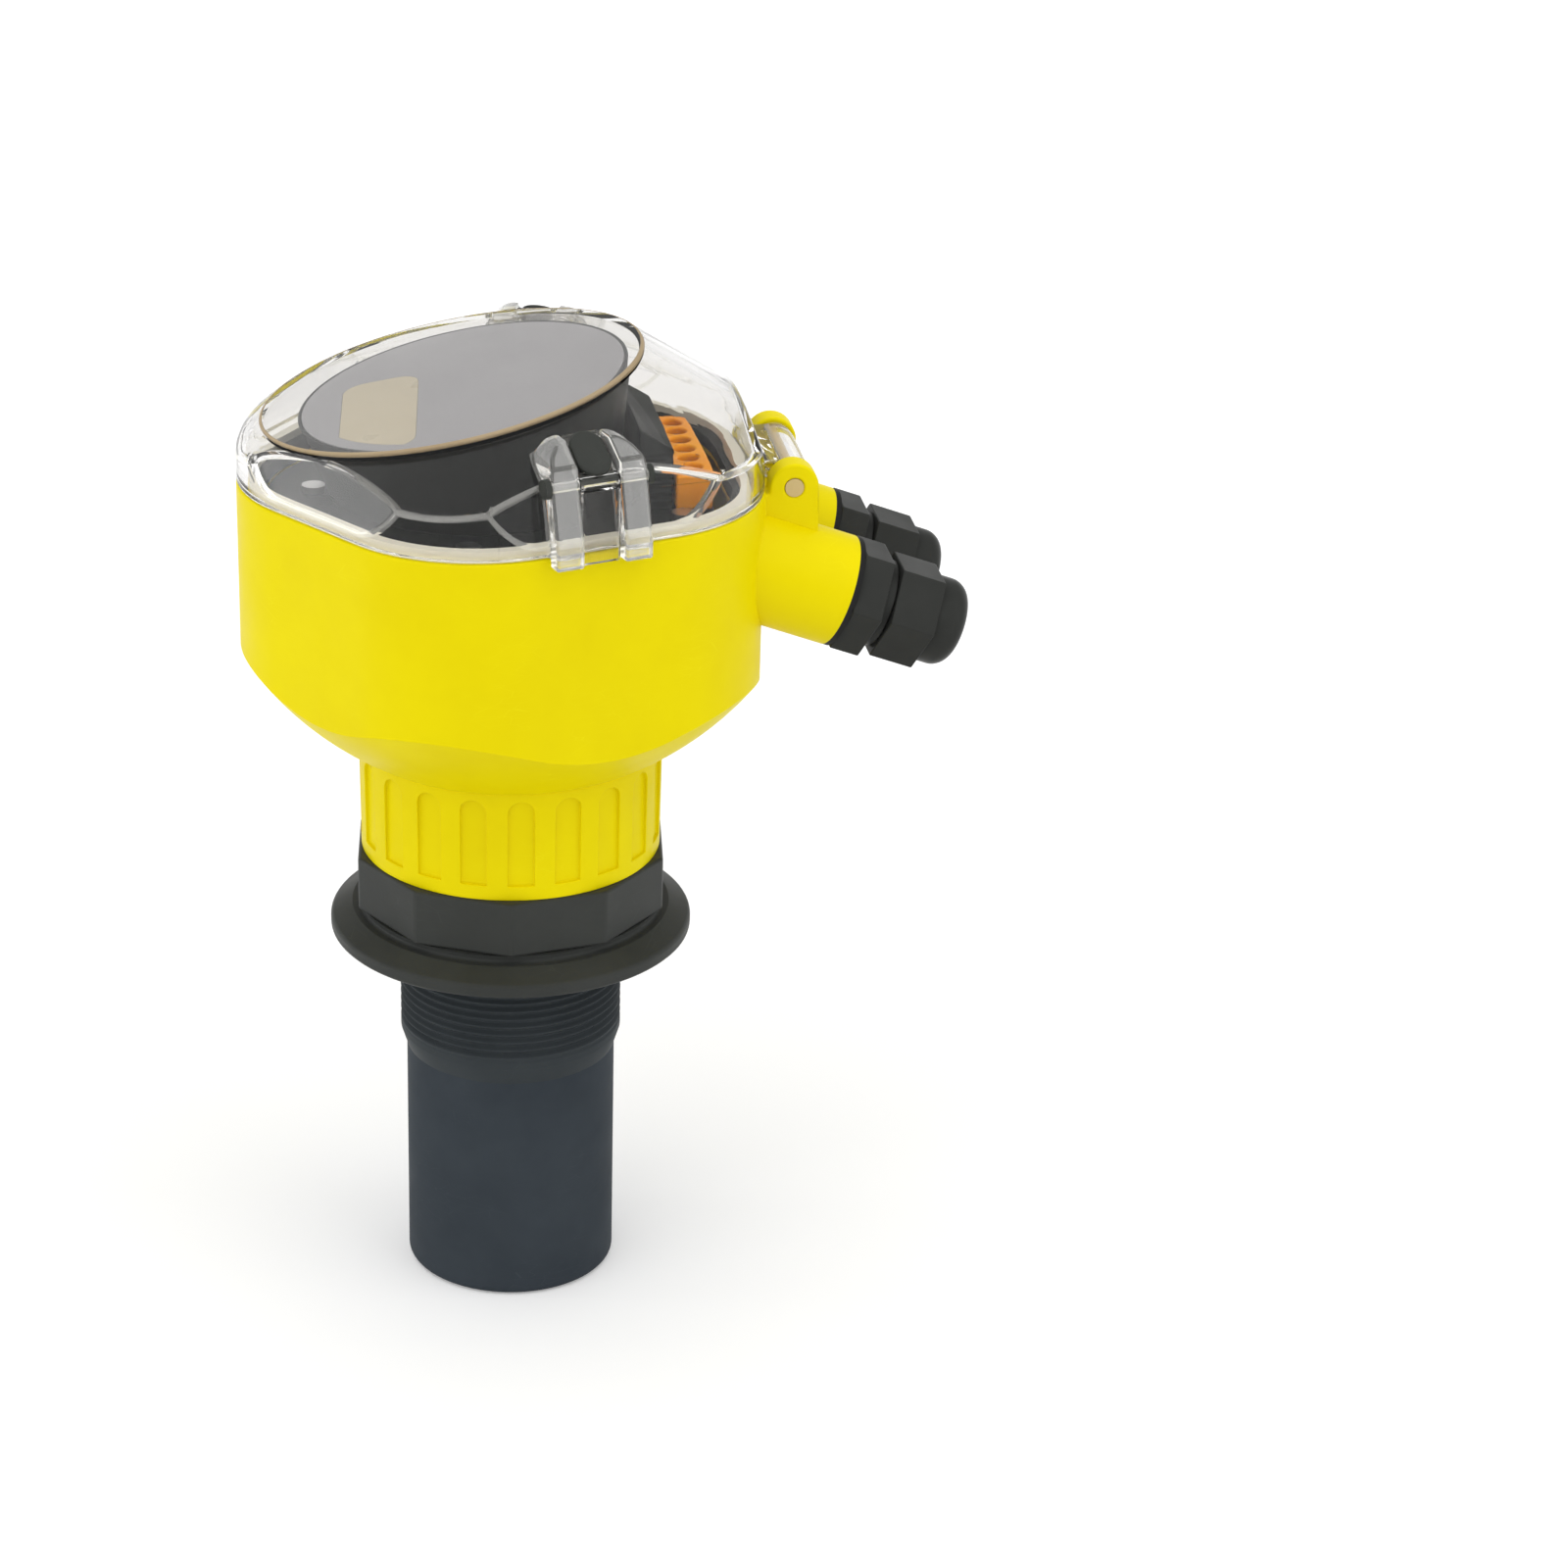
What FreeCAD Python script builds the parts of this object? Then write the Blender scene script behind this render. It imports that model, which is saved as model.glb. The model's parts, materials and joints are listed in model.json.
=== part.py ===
import FreeCAD, Part
import math
import os
import re

import Sketcher

# Ultrasonic flow meter: a pentagonal head with a clear hinged lid, on a threaded ultrasonic sensor.
# Frame: origin on the sensor's axis at the flange's underside, +Z up, +X towards the hinge and glands.
# Lengths are millimetres and angles degrees. Levels are heights above the flange's underside.

SIZES = {
    # Process connection: a two-inch pipe thread sleeve, and the flange with its ten-sided collar
    "thread_rise": 0.8,
    "thread_length": 30.4,
    "thread_lead": 5.0,
    "sleeve_step": 2.8,
    "sleeve_wall": 3.55,
    "flange_radius": 48.3,
    "flange_thickness": 3.4,
    "flange_slope": 3.1,
    "collar_waist": 40.0,
    "collar_waist_height": 2.5,
    "collar_flat": 40.4,
    "collar_corner": 42.5,
    "collar_height": 24.2,
    "collar_angle": -6,
    "spigot_wall": 4,
    "spigot_length": 15.8,
    # Sensor tube and the transducer in its foot
    "tube_radius": 28.2,
    "tube_reach": 100.7,
    "tube_wall": 3.2,
    "tube_face": 3,
    "tube_edge": 2,
    "tube_top_gap": 4,
    "matching_thickness": 6,
    "isolation_wall": 5,
    "piezo_thickness": 8,
    "isolation_height": 12,
    "potting_height": 28,
    "lead_radius": 2.5,
    # Fluted neck ring
    "ring_wall": 7.2,
    "ring_taper": 0.4,
    "ring_height": 30.8,
    "flute_count": 20,
    "flute_width": 7,
    "flute_depth": 0.9,
    "flute_foot": 4,
    "flute_height": 20.5,
    "flute_angle": -2,
    # Housing: a rounded pentagon standing in a round bowl
    "back_distance": 63.2,
    "side_distance": 61.4,
    "front_distance": 64.7,
    "corner_radius": 40,
    "bowl_radius": 41.5,
    "bowl_round": 84,
    "rim_level": 127.6,
    "housing_wall": 4,
    "rim_width": 8,
    "rim_depth": 6,
    "neck_gap": 1.5,
    # Cable bosses and glands
    "boss_spacing": 36,
    "boss_radius": 14.6,
    "boss_angle": 20,
    "boss_reach": 83,
    "boss_level": 98.7,
    "boss_length": 30,
    "entry_radius": 9.9,
    "gland_thread_radius": 9.8,
    "gland_thread_length": 12,
    "washer_thickness": 1.5,
    "gland_hex": 26.5,
    "gland_hex_height": 8,
    "gland_neck_radius": 11.6,
    "gland_neck_height": 2.6,
    "gland_bore": 7,
    "gland_sleeve_radius": 9.6,
    "gland_sleeve_bore": 8.8,
    "gland_sleeve_height": 10,
    "gland_nut_hex": 24.5,
    "gland_nut_height": 11.9,
    "gland_dome_radius": 11.5,
    "gland_dome_height": 9,
    "gland_dome_round": 6,
    "gland_mouth": 6.2,
    "gland_nut_gap": 0.3,
    "cable_radius": 5,
    "seal_length": 14,
    # Hinge
    "hinge_offset": 7.2,
    "hinge_rise": 0.5,
    "hinge_pin_radius": 2.4,
    "hinge_play": 0.05,
    "lug_radius": 6.3,
    "lug_thickness": 6.6,
    "lug_depth": 25,
    "barrel_radius": 5.5,
    "barrel_gap": 0.5,
    "web_thickness": 5,
    # Lid: the pentagon under a cone, with leaning walls and a sloping round window
    "lid_gap": 0.3,
    "lid_wall": 3,
    "lid_margin": 0.5,
    "lid_shoulder": 10.75,
    "lid_shoulder_round": 13,
    "dome_angle": 33,
    "lean_angle": 13.5,
    "lean_height": 3,
    "window_angle": 11.5,
    "window_place": -12.8,
    "window_level": 153.6,
    # Lid seal
    "seal_inset": 3.5,
    "seal_width": 2.6,
    "seal_height": 2.4,
    # Side latches
    "latch_angle": 72,
    "latch_shift": 4,
    "latch_proud": 5,
    "latch_width": 26,
    "latch_inner": 49.5,
    "latch_crown": 154.8,
    "latch_corner": 7,
    "recess_depth": 1.7,
    "latch_tip": 125.6,
    "latch_gap": 0.6,
    "latch_slot": 11,
    "latch_side_gap": 0.5,
    "clip_thickness": 2.4,
    "clip_lift": 0.2,
    "clip_pivot": 60.9,
    "clip_drop": 1.2,
    "clip_hub": 2.1,
    "clip_end_gap": 0.8,
    "latch_pin_radius": 1.2,
    "latch_play": 0.04,
    "ear_radius": 2.5,
    "ear_thickness": 1.5,
    "pad_width": 9,
    "pad_length": 13.5,
    "pad_height": 1.2,
    "pad_edge": 0.6,
    # Board, deck and display
    "board_level": 92,
    "board_radius": 44,
    "board_thickness": 1.6,
    "board_post_circle": 34,
    "board_post_radius": 3.5,
    "power_length": 40,
    "power_width": 30,
    "power_height": 16,
    "cover_level": 121,
    "cover_thickness": 3,
    "cover_gap": 1,
    "cover_post_circle": 50,
    "cover_post_radius": 4,
    "screw_radius": 1.5,
    "screw_play": 0.05,
    "screw_length": 8,
    "screw_head_radius": 3,
    "screw_head_height": 2,
    "cable_gap_start": 49.5,
    "cable_gap_width": 48,
    "display_radius": 43,
    "display_angle": 15,
    "display_depth": 34,
    "display_gap": 1,
    "bezel_width": 1,
    "face_thickness": 1.2,
    "face_play": 0.1,
    "lcd_circle": 38,
    "lcd_start": -31.5,
    "lcd_edge": -11.5,
    "lcd_near": 36,
    "lcd_far": 15,
    "lcd_corner": 6,
    "lcd_angle": -6,
    # Terminals
    "hood_start": 30.2,
    "hood_length": 8.8,
    "hood_width": 44,
    "hood_height": 25,
    "hood_rib_count": 5,
    "hood_rib_depth": 0.8,
    "terminal_start": 39.5,
    "terminal_length": 9.5,
    "terminal_width": 46,
    "terminal_height": 9,
    "terminal_count": 6,
    "terminal_pitch": 7,
    "terminal_well_radius": 2.6,
    "terminal_well_depth": 4,
    "terminal_wire_radius": 1.8,
    "terminal_screw_radius": 2.2,
    "terminal_screw_height": 2.4,
    # Working allowances
    "bond": 0.05,
    "over": 1,
}

X_AXIS = (1, 0, 0)
Y_AXIS = (0, 1, 0)
Z_AXIS = (0, 0, 1)
WALLS = 5
WALL_TURN = 360 // WALLS
WALL_DISTANCES = ("back_distance", "side_distance", "front_distance", "front_distance", "side_distance")
TOUCH = 0.01
SIDES = {"near": -1, "far": 1}

document = FreeCAD.newDocument("ultrasonic_flow_meter")
sheet = document.addObject("Spreadsheet::Sheet", "Sizes")
for row, (name, number) in enumerate(SIZES.items(), start=1):
    sheet.set(f"A{row}", name)
    sheet.set(f"B{row}", str(number))
    sheet.setAlias(f"B{row}", name)
document.recompute()

SUBPARTS = []


def formula(text):
    """The text with each size's name turned into a reference to its cell."""
    return re.sub(r"[a-z_]+", lambda word: f"Sizes.{word[0]}" if word[0] in SIZES else word[0], text)


def value(text):
    """The number that a formula comes to."""
    return float(sheet.evalExpression(formula(text)))


def bind(thing, **sizes):
    """Hold properties of a document object to formulas."""
    for name, text in sizes.items():
        thing.setExpression(name, formula(text))
    return thing


def place(thing, x="0", y="0", z="0", axis=Z_AXIS, turn="0"):
    """Set a thing's own origin at x, y, z and turn it about an axis through that point."""
    rotation = FreeCAD.Rotation(FreeCAD.Vector(*axis), value(turn))
    thing.Placement = FreeCAD.Placement(FreeCAD.Vector(), rotation)
    for letter, text in zip("xyz", (x, y, z)):
        thing.setExpression(f"Placement.Base.{letter}", formula(text))
    if turn != "0":
        thing.setExpression("Placement.Rotation.Angle", formula(turn))
    return thing


def subpart(thing, label):
    """Enter an object in the list of sub-parts under the name of its file."""
    thing.Label = label
    SUBPARTS.append(thing)
    return thing


def new_body(name):
    """An empty body."""
    return document.addObject("PartDesign::Body", name)


def origin_part(body, role):
    """A plane or an axis of the body's own origin."""
    return next(part for part in body.Origin.OriginFeatures if part.Role == role)


def add(body, kind, name, sizes, **where):
    """One primitive, joined to the body or cut from it by its kind."""
    feature = body.newObject("PartDesign::" + kind, name)
    bind(feature, **sizes)
    return place(feature, **where)


def repeat_round(body, original, count):
    """Copy a feature evenly round the body's own Z axis."""
    pattern = body.newObject("PartDesign::PolarPattern", "round_pattern")
    pattern.Originals = [original]
    pattern.Axis = (origin_part(body, "Z_Axis"), [""])
    pattern.Angle = 360
    bind(pattern, Occurrences=count)
    body.Tip = pattern


def sketch_on(body, name, plane):
    """An empty sketch on one of the body's own planes."""
    sketch = body.newObject("Sketcher::SketchObject", name)
    sketch.AttachmentSupport = (origin_part(body, plane), [""])
    sketch.MapMode = "FlatFace"
    return sketch


def hold(sketch, kind, geometry, point, text):
    """Hold one coordinate of a sketch point to a formula."""
    index = sketch.addConstraint(Sketcher.Constraint(kind, -1, 1, geometry, point, value(text)))
    sketch.setExpression(f"Constraints[{index}]", formula(text))


def profile(body, name, points):
    """A closed outline in the XZ plane through points that are pairs of formulas."""
    sketch = sketch_on(body, name, "XZ_Plane")
    corners = [FreeCAD.Vector(value(across), value(up), 0) for across, up in points]
    count = len(corners)
    for index, corner in enumerate(corners):
        sketch.addGeometry(Part.LineSegment(corner, corners[(index + 1) % count]))
    for index, (across, up) in enumerate(points):
        sketch.addConstraint(Sketcher.Constraint("Coincident", index, 2, (index + 1) % count, 1))
        hold(sketch, "DistanceX", index, 1, across)
        hold(sketch, "DistanceY", index, 1, up)
    return sketch


def turned(name, points):
    """A body turned about Z from pairs of radius and level."""
    body = new_body(name)
    section = profile(body, "section", points)
    turning = body.newObject("PartDesign::Revolution", "turning")
    turning.Profile = section
    turning.ReferenceAxis = (section, ["V_Axis"])
    turning.Angle = 360
    return body


def pad(body, sketch, length, both_ways=False):
    """Raise a sketch by a length, half each way if asked."""
    feature = body.newObject("PartDesign::Pad", sketch.Name + "_pad")
    feature.Profile = sketch
    feature.Midplane = both_ways
    return bind(feature, Length=length)


def corner_centre(index):
    """Formulas for the middle of the rounding between a wall and the next one."""
    first = f"({WALL_DISTANCES[index]} - corner_radius)"
    second = f"({WALL_DISTANCES[(index + 1) % WALLS]} - corner_radius)"
    turn = WALL_TURN * index
    onward = turn + WALL_TURN
    x = f"({first} * sin({onward}) - {second} * sin({turn})) / sin({WALL_TURN})"
    y = f"({second} * cos({turn}) - {first} * cos({onward})) / sin({WALL_TURN})"
    return x, y


def pentagon(body, name, inset, level):
    """The head's rounded pentagon at a level, with its walls moved in by the inset."""
    sketch = sketch_on(body, name, "XY_Plane")
    sketch.setExpression("AttachmentOffset.Base.z", formula(level))
    radius = f"corner_radius - ({inset})"
    centres = [corner_centre(index) for index in range(WALLS)]
    for index, (x, y) in enumerate(centres):
        circle = Part.Circle(FreeCAD.Vector(value(x), value(y), 0), FreeCAD.Vector(*Z_AXIS), value(radius))
        start = math.radians(WALL_TURN * index)
        sketch.addGeometry(Part.ArcOfCircle(circle, start, start + math.radians(WALL_TURN)))
    for index in range(WALLS):
        this_arc = sketch.Geometry[index]
        next_arc = sketch.Geometry[(index + 1) % WALLS]
        sketch.addGeometry(Part.LineSegment(this_arc.EndPoint, next_arc.StartPoint))
    for index, (x, y) in enumerate(centres):
        hold(sketch, "DistanceX", index, 3, x)
        hold(sketch, "DistanceY", index, 3, y)
        bend = sketch.addConstraint(Sketcher.Constraint("Radius", index, value(radius)))
        sketch.setExpression(f"Constraints[{bend}]", formula(radius))
        line = WALLS + index
        sketch.addConstraint(Sketcher.Constraint("Tangent", index, 2, line, 1))
        sketch.addConstraint(Sketcher.Constraint("Tangent", line, 2, (index + 1) % WALLS, 1))
    return sketch


def prism(body, name, inset, level, height):
    """The rounded pentagon raised by a height."""
    return pad(body, pentagon(body, name, inset, level), height)


def round_edges(body, radius, choose):
    """Round the edges of a body that a test chooses."""
    document.recompute()
    base = body.Tip
    names = [f"Edge{number}" for number, edge in enumerate(base.Shape.Edges, start=1) if choose(edge)]
    feature = body.newObject("PartDesign::Fillet", "rounding")
    feature.Base = (base, names)
    bind(feature, Radius=radius)


def ring_edge(radius, level):
    """A test for the circular edge of a radius at a level."""
    def choose(edge):
        if not isinstance(edge.Curve, Part.Circle):
            return False
        same_radius = abs(edge.Curve.Radius - value(radius)) < TOUCH
        return same_radius and abs(edge.Curve.Center.z - value(level)) < TOUCH
    return choose


def upright_edge(edge):
    """Whether an edge stands parallel to Z."""
    box = edge.BoundBox
    return box.XLength < TOUCH and box.YLength < TOUCH


def upper_corner(half_width, level):
    """A test for the two lengthwise edges at a level, a half width to each side."""
    def choose(edge):
        middle = edge.CenterOfMass
        return abs(abs(middle.y) - value(half_width)) < TOUCH and abs(middle.z - value(level)) < TOUCH
    return choose


def combine(kind, name, base, tool):
    """A boolean of two objects."""
    result = document.addObject("Part::" + kind, name)
    result.Base = base
    result.Tool = tool
    return result


def fuse(name, things):
    """One solid from several."""
    result = document.addObject("Part::MultiFuse", name)
    result.Shapes = things
    return result


def group(name, things):
    """Separate solids kept together as one sub-part."""
    result = document.addObject("Part::Compound", name)
    result.Links = things
    return result


def lengthwise(name, radius, length, **where):
    """A plain round bar, standing on its own origin."""
    bar = document.addObject("Part::Cylinder", name)
    bind(bar, Radius=radius, Height=length)
    return place(bar, **where)


def brick(name, length, width, height, **where):
    """A plain block with one corner at its own origin."""
    block = document.addObject("Part::Box", name)
    bind(block, Length=length, Width=width, Height=height)
    return place(block, **where)


def leaned(thing, name, lean, seat, **where):
    """Lean a thing at its place in a wall's own frame, then seat that frame."""
    place(thing, axis=Y_AXIS, turn=lean, **where)
    frame = document.addObject("Part::Compound", name)
    frame.Links = [thing]
    return place(frame, **seat)


def corner_bars(label, circle, radius, foot, height):
    """Five upright bars on a circle, one towards each corner of the head."""
    bars = []
    for index in range(WALLS):
        angle = WALL_TURN * index + WALL_TURN // 2
        bars.append(lengthwise(f"{label}_{index}", radius, height,
                               x=f"{circle} * cos({angle})", y=f"{circle} * sin({angle})", z=foot))
    return bars


# Levels and places that several pieces share
RING_TOP = "collar_height + ring_height"
SPIGOT_TOP = "collar_height + spigot_length"
NECK_FOOT = f"{SPIGOT_TOP} + neck_gap"
FACE_INSIDE = "-tube_reach + tube_face"
TUBE_BORE = "tube_radius - tube_wall"
SLEEVE_BORE = "tube_radius - sleeve_step"
SPIGOT_BORE = f"{SLEEVE_BORE} + sleeve_wall + bond"
SPIGOT_RADIUS = f"{SPIGOT_BORE} + spigot_wall"
THREAD_RADIUS = f"{SPIGOT_BORE} + thread_rise"
RING_RADIUS = f"{SPIGOT_RADIUS} + ring_wall"
RING_FOOT_RADIUS = f"{RING_RADIUS} - ring_taper"
PIEZO_RADIUS = f"{TUBE_BORE} - isolation_wall"
PIEZO_FOOT = f"{FACE_INSIDE} + matching_thickness"
ISOLATION_TOP = f"{PIEZO_FOOT} + isolation_height"
POTTING_TOP = f"{ISOLATION_TOP} + potting_height"
BOWL_CENTRE = f"{RING_TOP} + sqrt(bowl_round ^ 2 - bowl_radius ^ 2)"
LID_LEVEL = "rim_level + lid_gap"
LID_REACH = f"(front_distance - corner_radius) / cos({WALL_TURN // 2}) + corner_radius + lid_margin"
HINGE_X = "back_distance + hinge_offset"
HINGE_Z = "rim_level + hinge_rise"
COVER_TOP = "cover_level + cover_thickness"
CLEAR_SPAN = "(front_distance + corner_radius)"
BOARD_TOP = "board_level + board_thickness"


def dome_level(radius, inset="0"):
    """Formula for the lid cone's level at a radius, with the cone moved in by the inset."""
    rise = f"lid_shoulder + ({LID_REACH} - ({radius})) * tan(dome_angle) - ({inset}) / cos(dome_angle)"
    return f"{LID_LEVEL} + {rise}"


def make_sleeve():
    """Threaded sleeve that carries the sensor tube and stands up inside the collar."""
    foot = "-thread_length - thread_lead"
    top = "collar_height - bond"
    inside = f"{SLEEVE_BORE} + sleeve_wall"
    sleeve = turned("sleeve_form", [
        (SLEEVE_BORE, foot),
        ("tube_radius", foot),
        (THREAD_RADIUS, "-thread_length"),
        (THREAD_RADIUS, "0"),
        (inside, "0"),
        (inside, top),
        (SLEEVE_BORE, top),
    ])
    subpart(sleeve, "thread_sleeve")


def make_collar():
    """Flange, ten-sided collar and the spigot that the neck ring screws on."""
    slope_top = "flange_thickness + flange_slope"
    flats_foot = f"{slope_top} + collar_waist_height"
    body = turned("collar_form", [
        (THREAD_RADIUS, "0"),
        ("flange_radius", "0"),
        ("flange_radius", "flange_thickness"),
        ("collar_corner", slope_top),
        ("collar_waist", slope_top),
        ("collar_waist", flats_foot),
        ("collar_corner", flats_foot),
        ("collar_corner", "collar_height"),
        (SPIGOT_RADIUS, "collar_height"),
        (SPIGOT_RADIUS, SPIGOT_TOP),
        (SPIGOT_BORE, SPIGOT_TOP),
        (SPIGOT_BORE, "thread_rise"),
    ])
    flat = add(body, "SubtractiveBox", "flat",
               {"Length": "collar_corner", "Width": "collar_corner", "Height": "collar_height"},
               x="collar_flat", y="-collar_corner / 2", z=flats_foot)
    repeat_round(body, flat, "10")
    place(body, turn="collar_angle")
    subpart(body, "flange_collar")


def make_sensor():
    """Sensor tube with its closed foot, and the transducer stack bonded inside it."""
    spigot = f"{SLEEVE_BORE} - bond"
    shoulder = "-thread_length - thread_lead"
    tube = turned("tube_form", [
        ("0", "-tube_reach"),
        ("tube_radius", "-tube_reach"),
        ("tube_radius", shoulder),
        (spigot, shoulder),
        (spigot, "-tube_top_gap"),
        (f"{spigot} - tube_wall", "-tube_top_gap"),
        (f"{spigot} - tube_wall", f"{shoulder} - tube_wall"),
        (TUBE_BORE, f"{shoulder} - tube_wall * 2"),
        (TUBE_BORE, FACE_INSIDE),
        ("0", FACE_INSIDE),
    ])
    round_edges(tube, "tube_edge", ring_edge("tube_radius", "-tube_reach"))
    subpart(tube, "sensor_tube")
    inside = f"{TUBE_BORE} - bond"
    ring_bore = f"{PIEZO_RADIUS} + bond"
    piezo_top = f"{PIEZO_FOOT} + piezo_thickness"
    stack = {
        "matching_layer": [
            ("0", FACE_INSIDE),
            (inside, FACE_INSIDE),
            (inside, PIEZO_FOOT),
            ("0", PIEZO_FOOT),
        ],
        "piezo_disc": [
            ("0", PIEZO_FOOT),
            (PIEZO_RADIUS, PIEZO_FOOT),
            (PIEZO_RADIUS, piezo_top),
            ("0", piezo_top),
        ],
        "isolation_ring": [
            (ring_bore, PIEZO_FOOT),
            (inside, PIEZO_FOOT),
            (inside, ISOLATION_TOP),
            (ring_bore, ISOLATION_TOP),
        ],
        "potting_block": [
            ("0", piezo_top),
            (PIEZO_RADIUS, piezo_top),
            (PIEZO_RADIUS, ISOLATION_TOP),
            (inside, ISOLATION_TOP),
            (inside, POTTING_TOP),
            ("0", POTTING_TOP),
        ],
    }
    for label, points in stack.items():
        subpart(turned(label + "_form", points), label)
    lead = lengthwise("lead_form", "lead_radius", f"board_level - ({POTTING_TOP})", z=POTTING_TOP)
    subpart(lead, "sensor_lead")


def make_neck():
    """Fluted ring that clamps the head on the collar, and the flat seal inside it."""
    bore = f"{SPIGOT_RADIUS} + lid_gap"
    ring = turned("ring_form", [
        (bore, "collar_height"),
        (RING_FOOT_RADIUS, "collar_height"),
        (RING_RADIUS, RING_TOP),
        (bore, RING_TOP),
    ])
    floor = f"{RING_FOOT_RADIUS} - flute_depth"
    shaft = add(ring, "SubtractiveBox", "flute",
                {"Length": RING_RADIUS, "Width": "flute_width", "Height": "flute_height"},
                x=floor, y="-flute_width / 2", z="collar_height + flute_foot")
    repeat_round(ring, shaft, "flute_count")
    arch = add(ring, "SubtractiveCylinder", "flute_arch",
               {"Radius": "flute_width / 2", "Height": RING_RADIUS},
               x=floor, z="collar_height + flute_foot + flute_height", axis=Y_AXIS, turn="90")
    repeat_round(ring, arch, "flute_count")
    place(ring, turn="flute_angle")
    subpart(ring, "neck_ring")
    seal = turned("neck_seal_form", [
        (SPIGOT_BORE, SPIGOT_TOP),
        (SPIGOT_RADIUS, SPIGOT_TOP),
        (SPIGOT_RADIUS, NECK_FOOT),
        (SPIGOT_BORE, NECK_FOOT),
    ])
    subpart(seal, "neck_seal")


def bowl_block(name, inset, top):
    """The head's outside, or its hollow when the walls are moved in: a pentagon inside a round bowl."""
    walls = new_body(name + "_walls")
    foot = f"{RING_TOP} + {inset}"
    prism(walls, "outline", inset, foot, f"{top} - ({foot})")
    bowl = document.addObject("Part::Sphere", name + "_bowl")
    bind(bowl, Radius=f"bowl_round - ({inset})")
    place(bowl, z=BOWL_CENTRE)
    return combine("Common", name, walls, bowl)


def along_boss(distance):
    """Place of a point on a boss axis, a distance out from its end face."""
    return f"boss_reach + ({distance}) * cos(boss_angle)", f"boss_level - ({distance}) * sin(boss_angle)"


def hinge_lug(side, middle):
    """Upright plate with a round head for the hinge pin, rooted in the head's back wall."""
    lug = new_body("lug_" + side)
    face = f"{middle} - lug_thickness / 2"
    foot = f"{HINGE_Z} - lug_depth"
    add(lug, "AdditiveCylinder", "head", {"Radius": "lug_radius", "Height": "lug_thickness"},
        x=HINGE_X, y=face, z=HINGE_Z, axis=X_AXIS, turn="-90")
    add(lug, "AdditiveBox", "plate",
        {"Length": "lug_radius * 2", "Width": "lug_thickness", "Height": "lug_depth"},
        x=f"{HINGE_X} - lug_radius", y=face, z=foot)
    add(lug, "AdditiveBox", "root",
        {"Length": "hinge_offset + over", "Width": "lug_thickness",
         "Height": "lug_depth - hinge_rise - over"},
        x="back_distance - over", y=face, z=foot)
    return lug


def housing_space():
    """The head's hollow, with the posts for the deck and the board left standing in it."""
    inside = bowl_block("housing_inside", "housing_wall", "rim_level - rim_depth")
    mouth = new_body("housing_mouth")
    prism(mouth, "outline", "rim_width", "rim_level - rim_depth - over", "rim_depth + over * 2")
    bore_foot = f"{NECK_FOOT} - over"
    bore_height = f"{RING_TOP} + housing_wall + over - ({bore_foot})"
    bore = lengthwise("neck_bore", SPIGOT_BORE, bore_height, z=bore_foot)
    posts = corner_bars("cover_post", "cover_post_circle", "cover_post_radius",
                        RING_TOP, f"cover_level - ({RING_TOP})")
    posts += corner_bars("board_post", "board_post_circle", "board_post_radius",
                         RING_TOP, f"board_level - ({RING_TOP})")
    room = fuse("housing_room", [inside, mouth, bore])
    return combine("Cut", "housing_space", room, fuse("housing_posts", posts))


def make_housing():
    """Moulded head: shell, neck, cable bosses, hinge lugs, and posts for the deck and the board."""
    start_x, start_z = along_boss("-boss_length")
    solids = [bowl_block("housing_outside", "0", "rim_level")]
    solids.append(lengthwise("neck", SPIGOT_RADIUS, f"{RING_TOP} + over - ({NECK_FOOT})", z=NECK_FOOT))
    spaces = [housing_space()]
    for side, sign in SIDES.items():
        middle = f"{sign} * boss_spacing / 2"
        where = {"x": start_x, "y": middle, "z": start_z, "axis": Y_AXIS, "turn": "90 + boss_angle"}
        solids.append(lengthwise("boss_" + side, "boss_radius", "boss_length", **where))
        solids.append(hinge_lug(side, middle))
        spaces.append(lengthwise("entry_" + side, "entry_radius", "boss_length + over", **where))
    for label in ("cover", "board"):
        spaces += corner_bars(label + "_screw_hole", label + "_post_circle", "screw_radius + screw_play",
                              label + "_level - screw_length", "screw_length + over")
    spaces.append(lengthwise("lug_bore", "hinge_pin_radius + bond", "boss_spacing * 2",
                             x=HINGE_X, y="-boss_spacing", z=HINGE_Z, axis=X_AXIS, turn="-90"))
    housing = combine("Cut", "housing_form", fuse("housing_solid", solids), fuse("housing_hollow", spaces))
    subpart(housing, "housing")


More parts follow.
